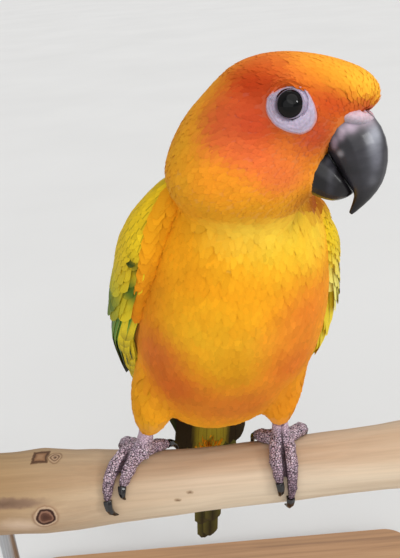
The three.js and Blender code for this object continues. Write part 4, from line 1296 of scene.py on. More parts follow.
def long_feathers(side):
    rows = []
    for k in range(SECONDARY_COUNT):
        u = k / (SECONDARY_COUNT - 1)
        tip = 0.86 - 0.17 * u + rng.normal(0, 0.004)
        rows.append([FLIGHT_ROOT, tip, 0.4 + 0.5 * u, 0.5 + 0.36 * u, 9, 85 - 30 * u,
                     -1.1 + 0.16 * k, -0.5 + 0.16 * k])
    last = len(PRIMARY_TIPS) - 1
    for k in range(PRIMARY_COUNT):
        order = last * k / (PRIMARY_COUNT - 1)
        tip = row_at([[t] for t in PRIMARY_TIPS], order / last)[0]
        reach = WING_LENGTH * (tip - FLIGHT_ROOT)
        rows.append([FLIGHT_ROOT, tip, -0.05 + order * 0.08, 0.38 + order * 0.04, 7.6, reach,
                     -1.9 + 0.09 * k, -1.3 + 0.09 * k])
    for k in range(PRIMARY_COVERT_COUNT):
        start = 0.3 + 0.02 * k
        rows.append([start, start + 0.26, -0.06 + 0.05 * k, 0.0 + 0.05 * k, 6, 38,
                     -1.2 + 0.1 * k, -0.3 + 0.1 * k])
    for k in range(EDGE_COUNT):
        start = 0.33 + 0.022 * k
        if side < 0:
            rows.append([start + 0.02, start + 0.16, -0.1 + 0.02 * (k % 2), -0.075 + 0.02 * (k % 3),
                         4, 23, -0.9, 1.15])
            continue
        for a_root, a_tip in ((-0.13, -0.1), (-0.22, -0.19)):
            rows.append([start, start + 0.15, a_root + 0.03 * (k % 2), a_tip + 0.045 * (k % 3),
                         5, 24, -0.2, 1.25])
    # On the right wing two dark inner feathers show beside the yellow ones.
    if side < 0:
        rows.append([0.36, 0.64, -0.13, -0.05, 4, 48, -1.6, -0.7])
        rows.append([0.37, 0.67, -0.1, -0.01, 4.4, 50, -1.7, -0.8])
    return np.array(rows)


def wing_lines(side, rows):
    root, tip, a_root, a_tip, _, _, low, high = (rows[:, i, None, None] for i in range(8))

    def place(t):
        return root + (tip - root) * t, a_root + (a_tip - a_root) * t, low + (high - low) * t

    def line(t):
        return on_wing(side, *place(t))[0]

    def over(t):
        return on_wing(side, *place(t))[1]

    return place, line, over


def wing_unwrap(side, rows):
    """Each wing has a corner of its own on the map OFBake."""
    corner = 0.02 if side > 0 else 0.52
    down = corner + np.clip(rows[:, 0], 0, 1) * 0.4
    return np.stack([down, 0.05 + np.clip(rows[:, 2] + 0.2, 0, 1.2) * 0.3], axis=1)


def wing_piece(name, side, rows, vane, tint, thick, cup, tilt):
    _, line, over = wing_lines(side, rows)
    return feathers(name, line, over, rows[:, 5], rows[:, 4], vane, tint, wing_unwrap(side, rows),
                    thick, cup=cup, tilt=tilt * side)


def wing_coverts(name, side):
    rows = np.concatenate([covert_tier(side, tier) for tier in COVERT_TIERS])
    place, _, _ = wing_lines(side, rows)
    uneven = 1 + rng.normal(0, 0.05, len(rows))
    large = rows[:, 5, None, None] > LARGE_COVERT

    def tint(tops, u, v):
        lengthwise, across, _ = place(u)
        colour = wing_colour(side, lengthwise, across)
        start = 0.06 if side < 0 else 0.22
        green = large * smooth(0.35, 0.85, u) * smooth(start, start + 0.1, across)
        green = green * (1 - 0.75 * (np.abs(v) > 0.95))
        colour = blend(colour, linear(FLIGHT_COLOURS["covert"]), green * 0.9)
        return colour * darker_root(u, 0.82, 0.7) * uneven[:, None, None, None]

    thing = wing_piece(name, side, rows, COVERT_VANE, tint, COVERT_THICK, 0.04, 0.05)
    return keep(thing, "flight_plumage", name.replace("_coverts", ""))


EDGE_TIER = {"from": 0.5, "to": 52, "step": 2.1, "length": 8.5, "width": 3.6, "apart": 2.0}
# Part of the wing over which the edge feathers spread, and how far past the wing's front.
EDGE_SPREAD, EDGE_PAST = 0.3, 0.03


def wing_edge(name, side):
    """Breast feathers that spread over the front edge of the wing and follow it down."""
    lengthwise, distance = wing_measure(side)
    rows = []
    for k, start in enumerate(np.arange(EDGE_TIER["from"], EDGE_TIER["to"], EDGE_TIER["step"])):
        root = np.interp(start, distance, lengthwise)
        tip = np.interp(start + EDGE_TIER["length"], distance, lengthwise)
        limit = wing_front(side, root) - EDGE_PAST
        turn = wing_front(side, tip) - wing_front(side, root)
        shift = 0.25 * (k % 2) - 0.3
        for place in across_at(side, root, EDGE_TIER["apart"], (limit, limit - EDGE_SPREAD), shift):
            near = smooth(limit - 0.2, limit, place)
            rows.append([root, tip, place, place + turn + rng.normal(0, 0.006), EDGE_TIER["width"],
                         EDGE_TIER["length"], 0.4 + near, 2.1 + rng.normal(0, 0.08)])
    rows = np.array(rows)
    _, line, _ = wing_lines(side, rows)
    own = plumage_colour(line(np.ones((len(rows), 1, 1)))[:, 0, 0])
    own = own * (1 + rng.normal(0, 0.04, len(rows)))[:, None]

    def tint(tops, u, v):
        return own[:, None, None] * darker_root(u)

    thing = wing_piece(name, side, rows, BODY_VANE, tint, COVERT_THICK, 0.06, 0.04)
    return keep(thing, "body_plumage")


def wing_flight(name, side):
    rows = long_feathers(side)
    place, _, _ = wing_lines(side, rows)

    def tint(tops, u, v):
        """Green outer webs over dark inner ones. The lowest ones of the right wing are darker."""
        lengthwise, across, _ = place(u)
        tip = linear(FLIGHT_COLOURS["tip"])
        dark = blend(one_colour(FLIGHT_COLOURS["vane"], u.shape), tip, u)
        green = blend(one_colour(FLIGHT_COLOURS["base"], u.shape), tip, smooth(0.55, 0.97, u))
        outermost = (rows[:, 7] < -0.54)[:, None, None] * (side < 0)
        green = green * (1 - 0.35 * outermost[..., None])
        outer_web = smooth(-0.1 + 0.5 * outermost, 0.4 + 0.3 * outermost, v * side)
        colour = blend(dark, green, outer_web * 0.95)
        rim = (v * side > 0.9) * smooth(0.98, 0.7, u) * (0.8 - 0.6 * outermost)
        colour = blend(colour, linear(FLIGHT_COLOURS["rim"]), rim)
        if side > 0:
            front = smooth(0.3, 0.15, across) * smooth(0.68, 0.58, lengthwise)
            colour = blend(colour, linear(FLIGHT_COLOURS["front"]), front)
        edge = ((rows[:, 2] < -0.065) & (rows[:, 7] > 0))[:, None, None]
        edge = edge * (0.9 - 0.4 * smooth(0.8, 1, u) * (side < 0))
        return blend(colour, linear(FLIGHT_COLOURS["edge"]), edge)

    thing = wing_piece(name, side, rows, FLIGHT_VANE, tint, FLIGHT_THICK, 0.05, 0.06)
    return keep(thing, "flight_plumage")


covert_pieces, flight_pieces = [], []
for label, side in SIDES.items():
    covert_pieces.append(wing_coverts("wing_" + label + "_coverts", side))
    flight_pieces.append(wing_flight("wing_" + label + "_flight", side))
    coat_pieces.append(wing_edge("wing_" + label + "_edge", side))
print("pieces of the wings:", len(covert_pieces + flight_pieces))

# %% [markdown]
# The tail is a narrow fan of twelve stiff feathers, the middle pair longest and on top.
# Loose coverts cover its root above and below. Each pair is its length as a share of the
# tail's, its distance from the middle at the root and at the tip, and its width.

# %% Feathers of the tail
TAIL_PAIRS = [
    (1, 1.2, 1.5, 7.4), (0.87, 2, 2.6, 7.8), (0.74, 2.8, 3.8, 8),
    (0.62, 3.8, 5.2, 8), (0.52, 4.8, 6.6, 7.8), (0.43, 5.8, 8, 7.4),
]
TAIL_STEP = 0.85


def tail_rows():
    """Start and end down the tail, place across at both, width, height at both, and way up."""
    rows = []
    for pair, (share, root, tip, width) in enumerate(TAIL_PAIRS):
        for side in (1, -1):
            low = 0.38 if side > 0 else 0
            top = 2.7 - pair * TAIL_STEP - low
            end = TAIL_LENGTH * share - 3 * low
            high = top * (0.4 + 0.12 * pair)
            rows.append([-2, end, side * root, side * tip + 0.23, width, top, high, 1])
    return np.array(rows)


def tail_covert_rows(under):
    """As above. Below the tail, wide dark feathers lie outside the yellow-olive ones."""
    rows = []
    tiers = ((18, 5, 3.9), (25, 5, 3.6), (32, 4, 3.4))
    if under:
        tiers = ((34, 8, 3.4), (31, 7, 3.4), (27, 6, 3.2))
    for tier, (end, count, gap) in enumerate(tiers):
        for k in range(count):
            across = (k - (count - 1) / 2) * gap
            stop = end - abs(across) * (0.2 if under else 0.9) + rng.normal(0, 1.2)
            high = 3.2 + 0.35 * tier if under else 3.4 + 0.35 * (2 - tier)
            start = 2 - 4 * tier if under else 7 * tier - 12
            heights = (-high, -high + 0.6, -1) if under else (high, high + 0.5, 1)
            rows.append([start, stop, across * 0.9, across + rng.normal(0, 0.5), 6.0, *heights])
    return np.array(rows)


def tail_piece(name, rows, vane, tint, thick, cup, *nodes):
    start, end, a_root, a_tip, _, low, high, up = (rows[:, i, None, None, None] for i in range(8))

    def line(t):
        t = t[..., None]
        down = TAIL_AXIS * (start + (end - start) * t)
        aside = TAIL_LEFT * (a_root + (a_tip - a_root) * t)
        return in_frame(TAIL_ROOT + down + aside + TAIL_BACK * (low + (high - low) * t))

    def over(t):
        return TAIL_BACK * up * np.ones_like(t[..., None])

    roots = np.stack([0.44 + rows[:, 2] * 0.008, 0.5 + rows[:, 5] * 0.03], axis=1)
    thing = feathers(name, line, over, rows[:, 1] - rows[:, 0], rows[:, 4], vane, tint, roots,
                     thick, cup=cup, back=0.5)
    return keep(thing, "tail_plumage", *nodes)


def tail_tint(tops, u, v):
    colour = one_colour(TAIL_COLOURS["root"], u.shape)
    colour = blend(colour, linear(TAIL_COLOURS["vane"]), smooth(0.0, 0.35, u))
    colour = blend(colour, linear(TAIL_COLOURS["tip"]), smooth(0.6, 1, u))
    return blend(colour, linear(TAIL_COLOURS["rim"]), 0.6 * (np.abs(v) > 0.95))


def tail_covert_tint(tops, u, v):
    colour = one_colour(TAIL_COLOURS["covert_root"], u.shape)
    colour = blend(colour, linear(TAIL_COLOURS["covert_tip"]), smooth(0.2, 0.9, u))
    return colour * darker_root(u, 0.8, 0.7)


def under_tail_tint(tops, u, v):
    across = np.abs(dot(on_body_frame(tops) - TAIL_ROOT, TAIL_LEFT))
    dark = np.maximum(smooth(5, 8, across), 0.8 * smooth(0.8, 1.0, np.abs(v)))
    colour = one_colour(TAIL_COLOURS["under"], u.shape)
    return blend(colour, linear(TAIL_COLOURS["under_dark"]), dark)


# Name, rows, kind of vane, colouring, thickness in mm, and how far the edges bend down.
tail_pieces = [
    tail_piece("tail_feathers", tail_rows(), TAIL_VANE, tail_tint, 0.5, 0.04, "tail"),
    tail_piece("tail_coverts_over", tail_covert_rows(False), COVERT_VANE, tail_covert_tint,
               0.3, 0.1),
    tail_piece("tail_coverts_under", tail_covert_rows(True), COVERT_VANE, under_tail_tint,
               0.3, 0.1),
]

# %% [markdown]
# All feathers share one kind of finish. The barbs, the fine side branches of each vane,
# leave the shaft at a slant, so thin slanted lines on the vane's own map give colour and
# relief. A soft sheen stands for the fuzz of light on plumage, and the long feathers
# are smoother and show their shaft.

# %% Feather finish
# How the barbs slant and how coarse they are across, and the width and tone of the shaft.
BARB_SLANT, BARB_ACROSS = 0.9, 0.35
SHAFT_WIDTH, SHAFT_TONE = 0.28, grey(0.55)


def feather_finish(name, barb_scale, contrast, relief, roughness=0.75, sheen=0.04, shaft=0.0,
                   soft=0.0):
    """soft is how far the light falls as on the smooth coat, rather than on each single vane."""
    finish = new_material(name, Roughness=roughness, Sheen_Weight=sheen, Sheen_Roughness=0.45,
                          Sheen_Tint=(1, 0.7, 0.3, 1), Specular_IOR_Level=0.06)
    place = add(finish, "UVMap", uv_map="vane").outputs["UV"]
    parts = add(finish, "SeparateXYZ", {"Vector": place})
    aside = maths(finish, "ABSOLUTE", parts.outputs["X"])
    slant = maths(finish, "MULTIPLY", aside, BARB_SLANT)
    slanted = maths(finish, "SUBTRACT", parts.outputs["Y"], slant)
    lines = add(finish, "CombineXYZ", {"Y": slanted, "Z": aside}).outputs[0]
    lines = add(finish, "Mapping", {"Vector": lines, "Scale": (1, barb_scale, BARB_ACROSS)})
    barbs = noise_on(finish, lines.outputs["Vector"], 1.0, 2, 0.6)
    colour = toned(finish, attribute(finish, "plumage"), barbs,
                   (0.25, grey(1 - contrast)), (0.75, grey(1 + contrast)))
    height = barbs
    if shaft:
        ridge = ramp(finish, aside, (0.0, grey(1)), (SHAFT_WIDTH, grey(0)))
        colour = mixed(finish, ridge, colour, mixed(finish, 1.0, colour, SHAFT_TONE, "MULTIPLY"))
        height = maths(finish, "MULTIPLY_ADD", ridge, shaft, barbs)
    under = None
    if soft:
        vane_up = add(finish, "NewGeometry").outputs["Normal"]
        ways = {4: vane_up, 5: attribute(finish, "coat_up", "Vector")}
        both = add(finish, "Mix", {0: soft, **ways}, data_type="VECTOR")
        under = add(finish, "VectorMath", {0: both.outputs[1]}, operation="NORMALIZE").outputs[0]
    wire(finish, colour, "Base Color")
    wire(finish, bump(finish, height, relief, 0.08, under), "Normal")
    return finish


body_finish = feather_finish("contour_feather", 4.5, 0.06, 0.3, soft=0.65)
covert_finish = feather_finish("wing_covert", 4, 0.08, 0.3, roughness=0.65, shaft=0.8, soft=0.55)
flight_finish = feather_finish("flight_feather", 3.4, 0.10, 0.4, roughness=0.5, shaft=2.0, soft=0.2)
for things, finish in ((coat_pieces, body_finish), (covert_pieces, covert_finish),
                       (flight_pieces + tail_pieces, flight_finish)):
    for thing in things:
        thing.data.materials.append(finish)

skin_finish = new_material("plumage_skin", Roughness=0.85)
down = noise_on(skin_finish, stretched(skin_finish, (1, 1, 0.4)), 900)
skin_tone = attribute(skin_finish, "plumage")
skin_tone = toned(skin_finish, skin_tone, down, (0.3, grey(0.93)), (0.7, grey(1.05)))
wire(skin_finish, skin_tone, "Base Color")
skin.data.materials.append(skin_finish)
keep(skin, "body_plumage", *FLESH)
print("feathered pieces:", len(coat_pieces + covert_pieces + flight_pieces + tail_pieces))

# %% [markdown]
# The eye, its bare ring and its lid all have to lie on the curved side of the face. So
# the face is first turned into a question that can be asked anywhere: how far out is
# it here, and which way is out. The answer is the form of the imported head, from its own
# cross-sections, or the skin with its coat where that stands out further.

# %% Side of the head
# Height, back, front, half width and sideways shift of the head's sections.
HEAD_ROWS = [
    [-24.5, -15.5, 5, 13, 8], [-22, -19.4, 8, 16.6, 4.6], [-19.4, -21.8, 10.6, 18, 2.4],
    [-16, -23, 12.6, 18.6, 0.8], [-12, -23.6, 14.2, 18.7, 0], [-6, -22.8, 16.2, 18.6, 0],
    [0, -20.8, 18.8, 18, 0], [5, -18, 22.2, 16.9, 0], [9.3, -15, 25, 15.4, 0],
    [13.6, -10.8, 24, 12.8, 0], [16.8, -5.6, 20, 9.4, 0], [18.5, 0, 14.5, 5.2, 0],
    [19, 4.5, 10, 2, 0],
]
HEAD_TAPER, HEAD_SQUARE = 0.2, 2.1
SMOOTH_HEAD_ROWS = row_at(HEAD_ROWS, np.linspace(0, 1, 300))
# Where rays towards the face start, in mm from its middle, and what a ray that misses gives.
OUTSIDE, MISSED = 30, -99


def head_side_at(forward, up):
    heights, *rest = SMOOTH_HEAD_ROWS.T
    back, front, half = (np.interp(up, heights, row) for row in rest[:3])
    run = np.clip((forward - (back + front) / 2) / ((front - back) / 2), -0.999, 0.999)
    return half * (1 - np.abs(run) ** HEAD_SQUARE) ** (1 / HEAD_SQUARE) * (1 - HEAD_TAPER * run)


def head_vectors(forward, left, up):
    return (np.asarray(forward)[..., None] * HEAD_FORWARD + np.asarray(left)[..., None] * HEAD_LEFT
            + np.asarray(up)[..., None] * HEAD_UP)


def side_of_face(side, forward, up):
    """How far out the side of the face lies. Rays from outside find the skin."""
    skin_side = []
    outside = np.full_like(forward, OUTSIDE * side)
    for origin in on_head(*(x[:, None] for x in (forward, outside, up))):
        hit = SKIN_TREE.ray_cast(Vector(origin), Vector(-side * HEAD_LEFT), OUTSIDE * MM)[0]
        found = MISSED if hit is None else side * float(head_coordinates(np.array(hit))[1])
        skin_side.append(found)
    return np.maximum(head_side_at(forward, up), np.array(skin_side) + coat_depth(up))


def on_face_side(side, forward, up, rise, step=0.7):
    """A point over the side of the head, and the way out there."""
    def slope(ahead, higher):
        beyond = side_of_face(side, forward + ahead, up + higher)
        return (beyond - side_of_face(side, forward - ahead, up - higher)) / (2 * step)

    slope_f, slope_u = slope(step, 0), slope(0, step)
    out = unit(head_vectors(-slope_f, np.full_like(slope_f, side), -slope_u))
    point = HEAD_MIDDLE + head_vectors(forward, side * side_of_face(side, forward, up), up) * MM
    return point + out * np.asarray(rise)[..., None] * MM, out


eye_side = side_of_face(1, np.array([EYE["forward"]]), np.array([EYE["up"]]))
print("the face beside the left eye is", eye_side.round(1), "mm out")

# %% [markdown]
# Round each eye is a bare ring of pale skin, widest down towards the bill, with fine
# folds that run round it. Its inner edge is the lid, a soft roll close to the eyeball,
# and its outer edge dips under the feathers. A torus has just this build, one row of
# points along and one across, so it is drawn into the ring's profile. The eyeball is a
# dark sphere of which only the front shows, very smooth, so that a lamp glints in it.

# %% Eyes and eye rings
RING = {"lid": 2.72, "around": 96, "across": 46}
# Share of the way from lid to rim and height over the face in mm, over the top and back below.
RING_PROFILE = [
    (-0.12, -1.2), (-0.1, 0.35), (-0.03, 0.82), (0.05, 0.9), (0.13, 0.66), (0.22, 0.34),
    (0.34, 0.2), (0.46, 0.16), (0.58, 0.13), (0.7, 0.08), (0.82, 0.02), (0.92, -0.12),
    (1.0, -0.4), (1.04, -0.9), (0.8, -1.6), (0.3, -1.9),
]
# The colour lid is painted shade next to the eyeball.
RING_COLOURS = {"skin": "BBADC3", "rear": "A393A4", "rim": "D79A98", "lid": "453947"}
# How far the eyeball stands out of the face, in mm.
EYE_PROUD = 0.6


def eye_ring(label, side):
    profile = row_at(RING_PROFILE, np.linspace(0, 1, RING["across"]))
    bpy.ops.mesh.primitive_torus_add(major_segments=RING["around"], minor_segments=len(profile),
                                     major_radius=1, minor_radius=0.4)
    ring = bpy.context.object
    ring.name = "eye_ring_" + label
    drawn = places_of(ring)
    turn = np.arctan2(drawn[:, 1], drawn[:, 0])
    around_tube = np.arctan2(drawn[:, 2], np.hypot(drawn[:, 0], drawn[:, 1]) - 1)
    index = np.round(around_tube / (2 * np.pi) * len(profile)).astype(int) % len(profile)
    share, rise = profile[index, 0], profile[index, 1]
    lid = RING["lid"] * (1 + 0.05 * np.sin(turn) ** 2 - 0.06 * np.cos(turn) ** 2)
    reach = lid + share * (ring_reach(turn) - lid)
    forward = EYE["forward"] + reach * np.cos(turn)
    up = EYE["up"] + reach * np.sin(turn)
    folds = np.sin(share * 26 + 1.5 * np.sin(turn * 3 + 1) + 0.8 * np.sin(turn * 7)) * 0.045
    cross = np.sin(turn * 46 + 4 * np.sin(share * 9)) * 0.02
    rise = rise + (folds + cross) * smooth(0.1, 0.25, share) * (rise > -0.5)
    move_vertices(ring, on_face_side(side, forward, up, rise)[0])
    shaded_smoothly(facing_out(ring))
    # Painted shade: the ring gets darker towards the lid, most of all at its lower rear.
    lower_rear = smooth(0.3, -0.8, np.cos(turn - math.radians(35)))
    shade = smooth(0.3, 0.0, share) * (0.4 + 0.6 * lower_rear)
    tone = one_colour(RING_COLOURS["skin"], share.shape)
    tone = blend(tone, linear(RING_COLOURS["rear"]), 0.8 * smooth(0.2, -0.9, np.cos(turn)))
    tone = blend(tone, linear(RING_COLOURS["rim"]), smooth(0.8, 1.0, share))
    paint(ring, "bare", blend(tone, linear(RING_COLOURS["lid"]), shade))
    return keep(ring, "head_plumage")


def eyeball(label, side):
    at = np.array([EYE["forward"]]), np.array([EYE["up"]])
    surface, out = on_face_side(side, *at, np.zeros(1))
    depth = math.sqrt(EYE["radius"] ** 2 - EYE["showing"] ** 2)
    centre = surface[0] + out[0] * (EYE_PROUD - depth) * MM
    bpy.ops.mesh.primitive_uv_sphere_add(segments=64, ring_count=40, radius=EYE["radius"] * MM)
    ball = bpy.context.object
    ball.name = "eyeball_" + label
    turned = Vector(out[0]).to_track_quat("Z", "Y").to_matrix()
    local = places_of(ball)
    move_vertices(ball, local @ np.array(turned).T + centre)
    shaded_smoothly(ball)
    # Distance from the middle of the pupil in mm. The hidden rear half counts as far off.
    paint(ball, "off_centre", np.hypot(local[:, 0], local[:, 1]) / MM * (1 + (local[:, 2] < 0) * 9))
    return keep(ball, "eye", "eye_" + label)


ring_finish = new_material("bare_skin", Roughness=0.55, Subsurface_Weight=0.12,
                           Subsurface_Scale=0.001, Specular_IOR_Level=0.35)
pebbles = noise_on(ring_finish, stretched(ring_finish, (1, 1, 1)), 1500, 2)
ring_tone = attribute(ring_finish, "bare")
ring_tone = toned(ring_finish, ring_tone, pebbles, (0.3, grey(0.84)), (0.7, grey(1.08)))
wire(ring_finish, ring_tone, "Base Color")
wire(ring_finish, bump(ring_finish, pebbles, 0.35, 0.1), "Normal")

# A ramp runs from 0 to 1, so the distance of up to 4 mm is taken as a share of those.
eye_finish = new_material("eye", Roughness=0.04, Specular_IOR_Level=0.2)
off = maths(eye_finish, "MULTIPLY", attribute(eye_finish, "off_centre", "Fac"), 0.25)
pupil, iris, dim_iris = rgba("030303"), rgba("0D0807"), rgba("0A0706")
eye_tone = ramp(eye_finish, off, (0.0, pupil), (0.44, pupil), (0.5, iris), (0.62, dim_iris),
                (0.75, pupil))
wire(eye_finish, eye_tone, "Base Color")

for label, side in SIDES.items():
    ring = eye_ring(label, side)
    ring.data.materials.append(ring_finish)
    eyeball(label, side).data.materials.append(eye_finish)
    print(ring.name, len(ring.data.polygons), "faces")

# %% [markdown]
# The bill is one hard sheath of horn over each jaw. Copies of the imported solids are
# remeshed very finely and smoothed, and shallow growth lines come from the finish. The
# horn is charcoal grey, paler where it leaves the cere, and almost black at the hooked
# tip. A pale streak down each side of the ridge is paler horn and a painted highlight in
# one. These fields are sprayed on, like those of the plumage.

# %% Bill
BILL_BASE = {"bill_upper": "2C2A2F", "bill_lower": "110E11"}
HORN_VOXEL, HORN_ROUNDS = 0.26, 8
# Feathers hide the horn this far behind their edge, in mm, and up to this height on the head.
UNDER_FEATHERS, FEATHERED_TO = 0.9, 4.5
# Forward, sideways and up on the head, reach, colour, strength, alike on both sides.
BILL_PATCHES = {
    "bill_upper": [
        ((27, 0, -4), (4, 8, 4), "404045", 0.7),
        # Paler horn and painted highlight: a pale streak down the side of the ridge, here and next.
        ((25.6, 3.4, 3), (1.8, 2.0, 4.6), "B4B6C0", 0.75),
        ((26.8, 3.6, -1.5), (1.6, 1.5, 3.2), "7C7C86", 0.6),
        ((22.6, 4.6, 7.4), (3.2, 3.8, 2.3), "D6C3D0", 1.0),
        ((20.6, 6.2, 4.8), (1.5, 2.5, 1.7), "C9B5C6", 0.9),
        ((19.0, 7.0, 3.0), (1.0, 2.5, 1.6), "B9A6B6", 0.9),
        ((17.8, 6.6, 0.6), (0.8, 2.5, 1.5), "A18F9F", 0.8),
        ((19.4, 6.3, -1.6), (0.8, 1.8, 0.8), "A9A9AF", 0.6),
        ((21.0, 5, -5.0), (3.5, 4, 1.8), "1A181B", 0.85),
        ((25, 0, -13), (5, 5, 4.5), "0E0C0E", 1.0),
        ((27.2, 3.4, -6.6), (1.2, 1.6, 1.2), "66666C", 0.5),
    ],
    "bill_lower": [
        ((16.9, 5.0, -3.2), (0.8, 3, 1.6), "6E6E78", 0.35),
        ((18.0, 5.0, -6.0), (0.8, 3, 2.0), "5F5F69", 0.3),
        ((18.4, 4.6, -9.4), (0.9, 3, 2.4), "4C4A52", 0.3),
    ],
}


def painted(points, base, patches):
    """A base colour on the head with patches sprayed on both sides."""
    forward, left, up = head_coordinates(points)
    place = np.stack([forward, np.abs(left), up], axis=-1)
    colour = one_colour(base, left.shape)
    for patch in patches:
        colour = sprayed(colour, place, *patch)
    return colour


def bill_piece(node):
    """One half of the bill. Where feathers run over the horn, it has their colour."""
    piece = remeshed(merged_copy(node + "_horn", node), HORN_VOXEL, HORN_ROUNDS)
    places = places_of(piece)
    colour = painted(places, BILL_BASE[node], BILL_PATCHES[node])
    forward, _, up = head_coordinates(places)
    feathered = (forward < edge_reach(up) - UNDER_FEATHERS) & (up < FEATHERED_TO)
    colour[feathered] = plumage_colour(places[feathered]) * 0.9
    paint(piece, "horn", colour)
    return keep(piece, "horn", node)


horn_finish = new_material("horn", Roughness=0.34, Specular_IOR_Level=0.35, Coat_Weight=0.1,
                           Coat_Roughness=0.2)
streaks = noise_on(horn_finish, stretched(horn_finish, (260, 260, 900), turn=(0.3, 0.5, 0)), 1, 4)
blotches = noise_on(horn_finish, stretched(horn_finish, (1, 1, 1)), 160, 3)
horn_tone = attribute(horn_finish, "horn")
horn_tone = toned(horn_finish, horn_tone, blotches, (0.3, grey(0.84)), (0.7, grey(1.12)))
horn_tone = toned(horn_finish, horn_tone, streaks, (0.3, grey(0.86)), (0.7, grey(1.1)))
wire(horn_finish, horn_tone, "Base Color")
wire(horn_finish, ramp(horn_finish, streaks, (0.2, grey(0.28)), (0.8, grey(0.44))), "Roughness")
wire(horn_finish, bump(horn_finish, streaks, 0.25, 0.08), "Normal")
for node in BILL_BASE:
    piece = bill_piece(node)
    piece.data.materials.append(horn_finish)
    print(piece.name, len(piece.data.polygons), "faces")

# %% [markdown]
# The cere is the bare swelling over the root of the bill, in which the nostrils lie. It
# is a sphere drawn flat along the head's own directions. Each nostril is a small hole
# with a raised rim, pushed in at one place, and the middle between them dips.

# %% Cere
# A nostril's place on the cere in mm, its rim and its hole: height, radius and width in mm.
NOSTRIL = {"ahead": 2.2, "aside": 4.4, "up": 1.3, "rim": (0.3, 1.0, 0.5), "hole": (-1.2, 0.0, 0.55)}
CERE_DIP, CERE_DIP_WIDTH = 1.2, 2.6
CERE_TOP, CERE_FOOT = "D8BAC4", "A9A2AD"


def cere_piece():
    """A low swelling over the root of the bill, with a nostril on each side."""
    bpy.ops.mesh.primitive_uv_sphere_add(segments=96, ring_count=64, radius=1)
    cere = bpy.context.object
    cere.name = "cere"
    local = places_of(cere)
    size = np.array([CERE["ahead"], CERE["half"], CERE["high"]])
    offset = head_vectors(*(local * size).T)
    for side in SIDES.values():
        hole = np.array([NOSTRIL["ahead"], side * NOSTRIL["aside"], NOSTRIL["up"]])
        run = np.linalg.norm(local * size - hole, axis=1)
        swell = sum(height * np.exp(-((run - radius) / width) ** 2)
                    for height, radius, width in (NOSTRIL["rim"], NOSTRIL["hole"]))
        offset = offset + unit(offset) * swell[:, None]
    dip = CERE_DIP * np.exp(-(local[:, 1] * CERE["half"] / CERE_DIP_WIDTH) ** 2)
    offset = offset - HEAD_UP * (dip * smooth(0, 0.9, local[:, 2]))[:, None]
    move_vertices(cere, on_head(CERE["forward"], 0, CERE["up"]) + offset * MM)
    low = smooth(0.5, -0.7, local[:, 2])
    paint(cere, "bare", blend(one_colour(CERE_TOP, low.shape), linear(CERE_FOOT), low))
    return keep(shaded_smoothly(cere), "head_plumage")


cere = cere_piece()
cere.data.materials.append(ring_finish)
print("faces of the cere:", len(cere.data.polygons))

# %% [markdown]
# Bare scaly feet grip the branch, two toes ahead and two behind. The imported feet are
# remeshed finely, and a pattern of small cells raises each scale. The two front toes lie
# close together, so a groove is pressed in along the line between them, and the finish
# paints it dark, as painted shade between the toes. Darker bars round the toes and a dark
# net between the scales come from the finish. The claws are smooth, hard and nearly black.

# %% Feet and claws
# The line between the two front toes: degrees round the branch from its top, place along it.
TOE_GAP = {
    "left": [(-2, 25.3), (14, 25.2), (34, 24.9), (71, 24.9)],
    "right": [(-6, -26), (2, -28.4), (9, -29.6), (16, -30.7), (25, -31.9), (39, -33.4),
              (51, -34.3)],
}
# Half width and depth of that groove, height of a scale and of softer lumps, in mm.
GAP = {"half": 0.5, "depth": 0.7, "scale": 0.2, "lump": 0.14}
FOOT_VOXEL, FOOT_ROUNDS = 0.3, 4
CLAW_VOXEL, CLAW_ROUNDS = 0.16, 3
# How far the toes lie from the branch's axis, and their bars from each other, in mm.
GRIP, BAR_STEP = 13.5, 0.8


def scaly_foot(label):
    foot = remeshed(merged_copy("scaly_foot_" + label, "foot_" + label), FOOT_VOXEL, FOOT_ROUNDS)
    places, normals = places_of(foot), normals_of(foot)
    cells = [noise.voronoi(Vector(p / MM) * 0.8)[0] for p in places]
    scale = smooth(0.02, 0.35, np.array([c[1] - c[0] for c in cells]))
    x, y, z = on_body_frame(places).T
    shank = smooth(20, 25, z)
    turn = np.degrees(np.arctan2(-y, z))
    gap = x - np.interp(turn, *zip(*TOE_GAP[label]))
    split = np.exp(-(gap / GAP["half"]) ** 2) * smooth(0, 8, turn)
    rise = (scale - 0.6) * GAP["scale"] * (1 - 0.6 * shank)
    rise = rise + GAP["lump"] * mottle(places, 2.6, 5.5) - GAP["depth"] * split
    move_vertices(foot, places + normals * rise[:, None] * MM)
    bars = np.radians(turn) * GRIP / BAR_STEP + 0.5 * mottle(places, 2.5, 1.5)
    fields = {"shank": shank, "toe": smooth(19, 4, z), "split": split, "bars": bars}
    for name, values in fields.items():
        paint(foot, name, values)
    return keep(foot, "foot_skin", "foot_" + label)


def wobbled(material, vector, scale, detail, reach):
    """Places shaken by up to the reach in mm, so that lines drawn there look natural."""
    wobble = add(material, "TexNoise", {"Vector": vector, "Scale": scale, "Detail": detail})
    shake = {0: wobble.outputs["Color"], 1: (reach * MM,) * 3, 2: vector}
    return add(material, "VectorMath", shake, operation="MULTIPLY_ADD").outputs[0]


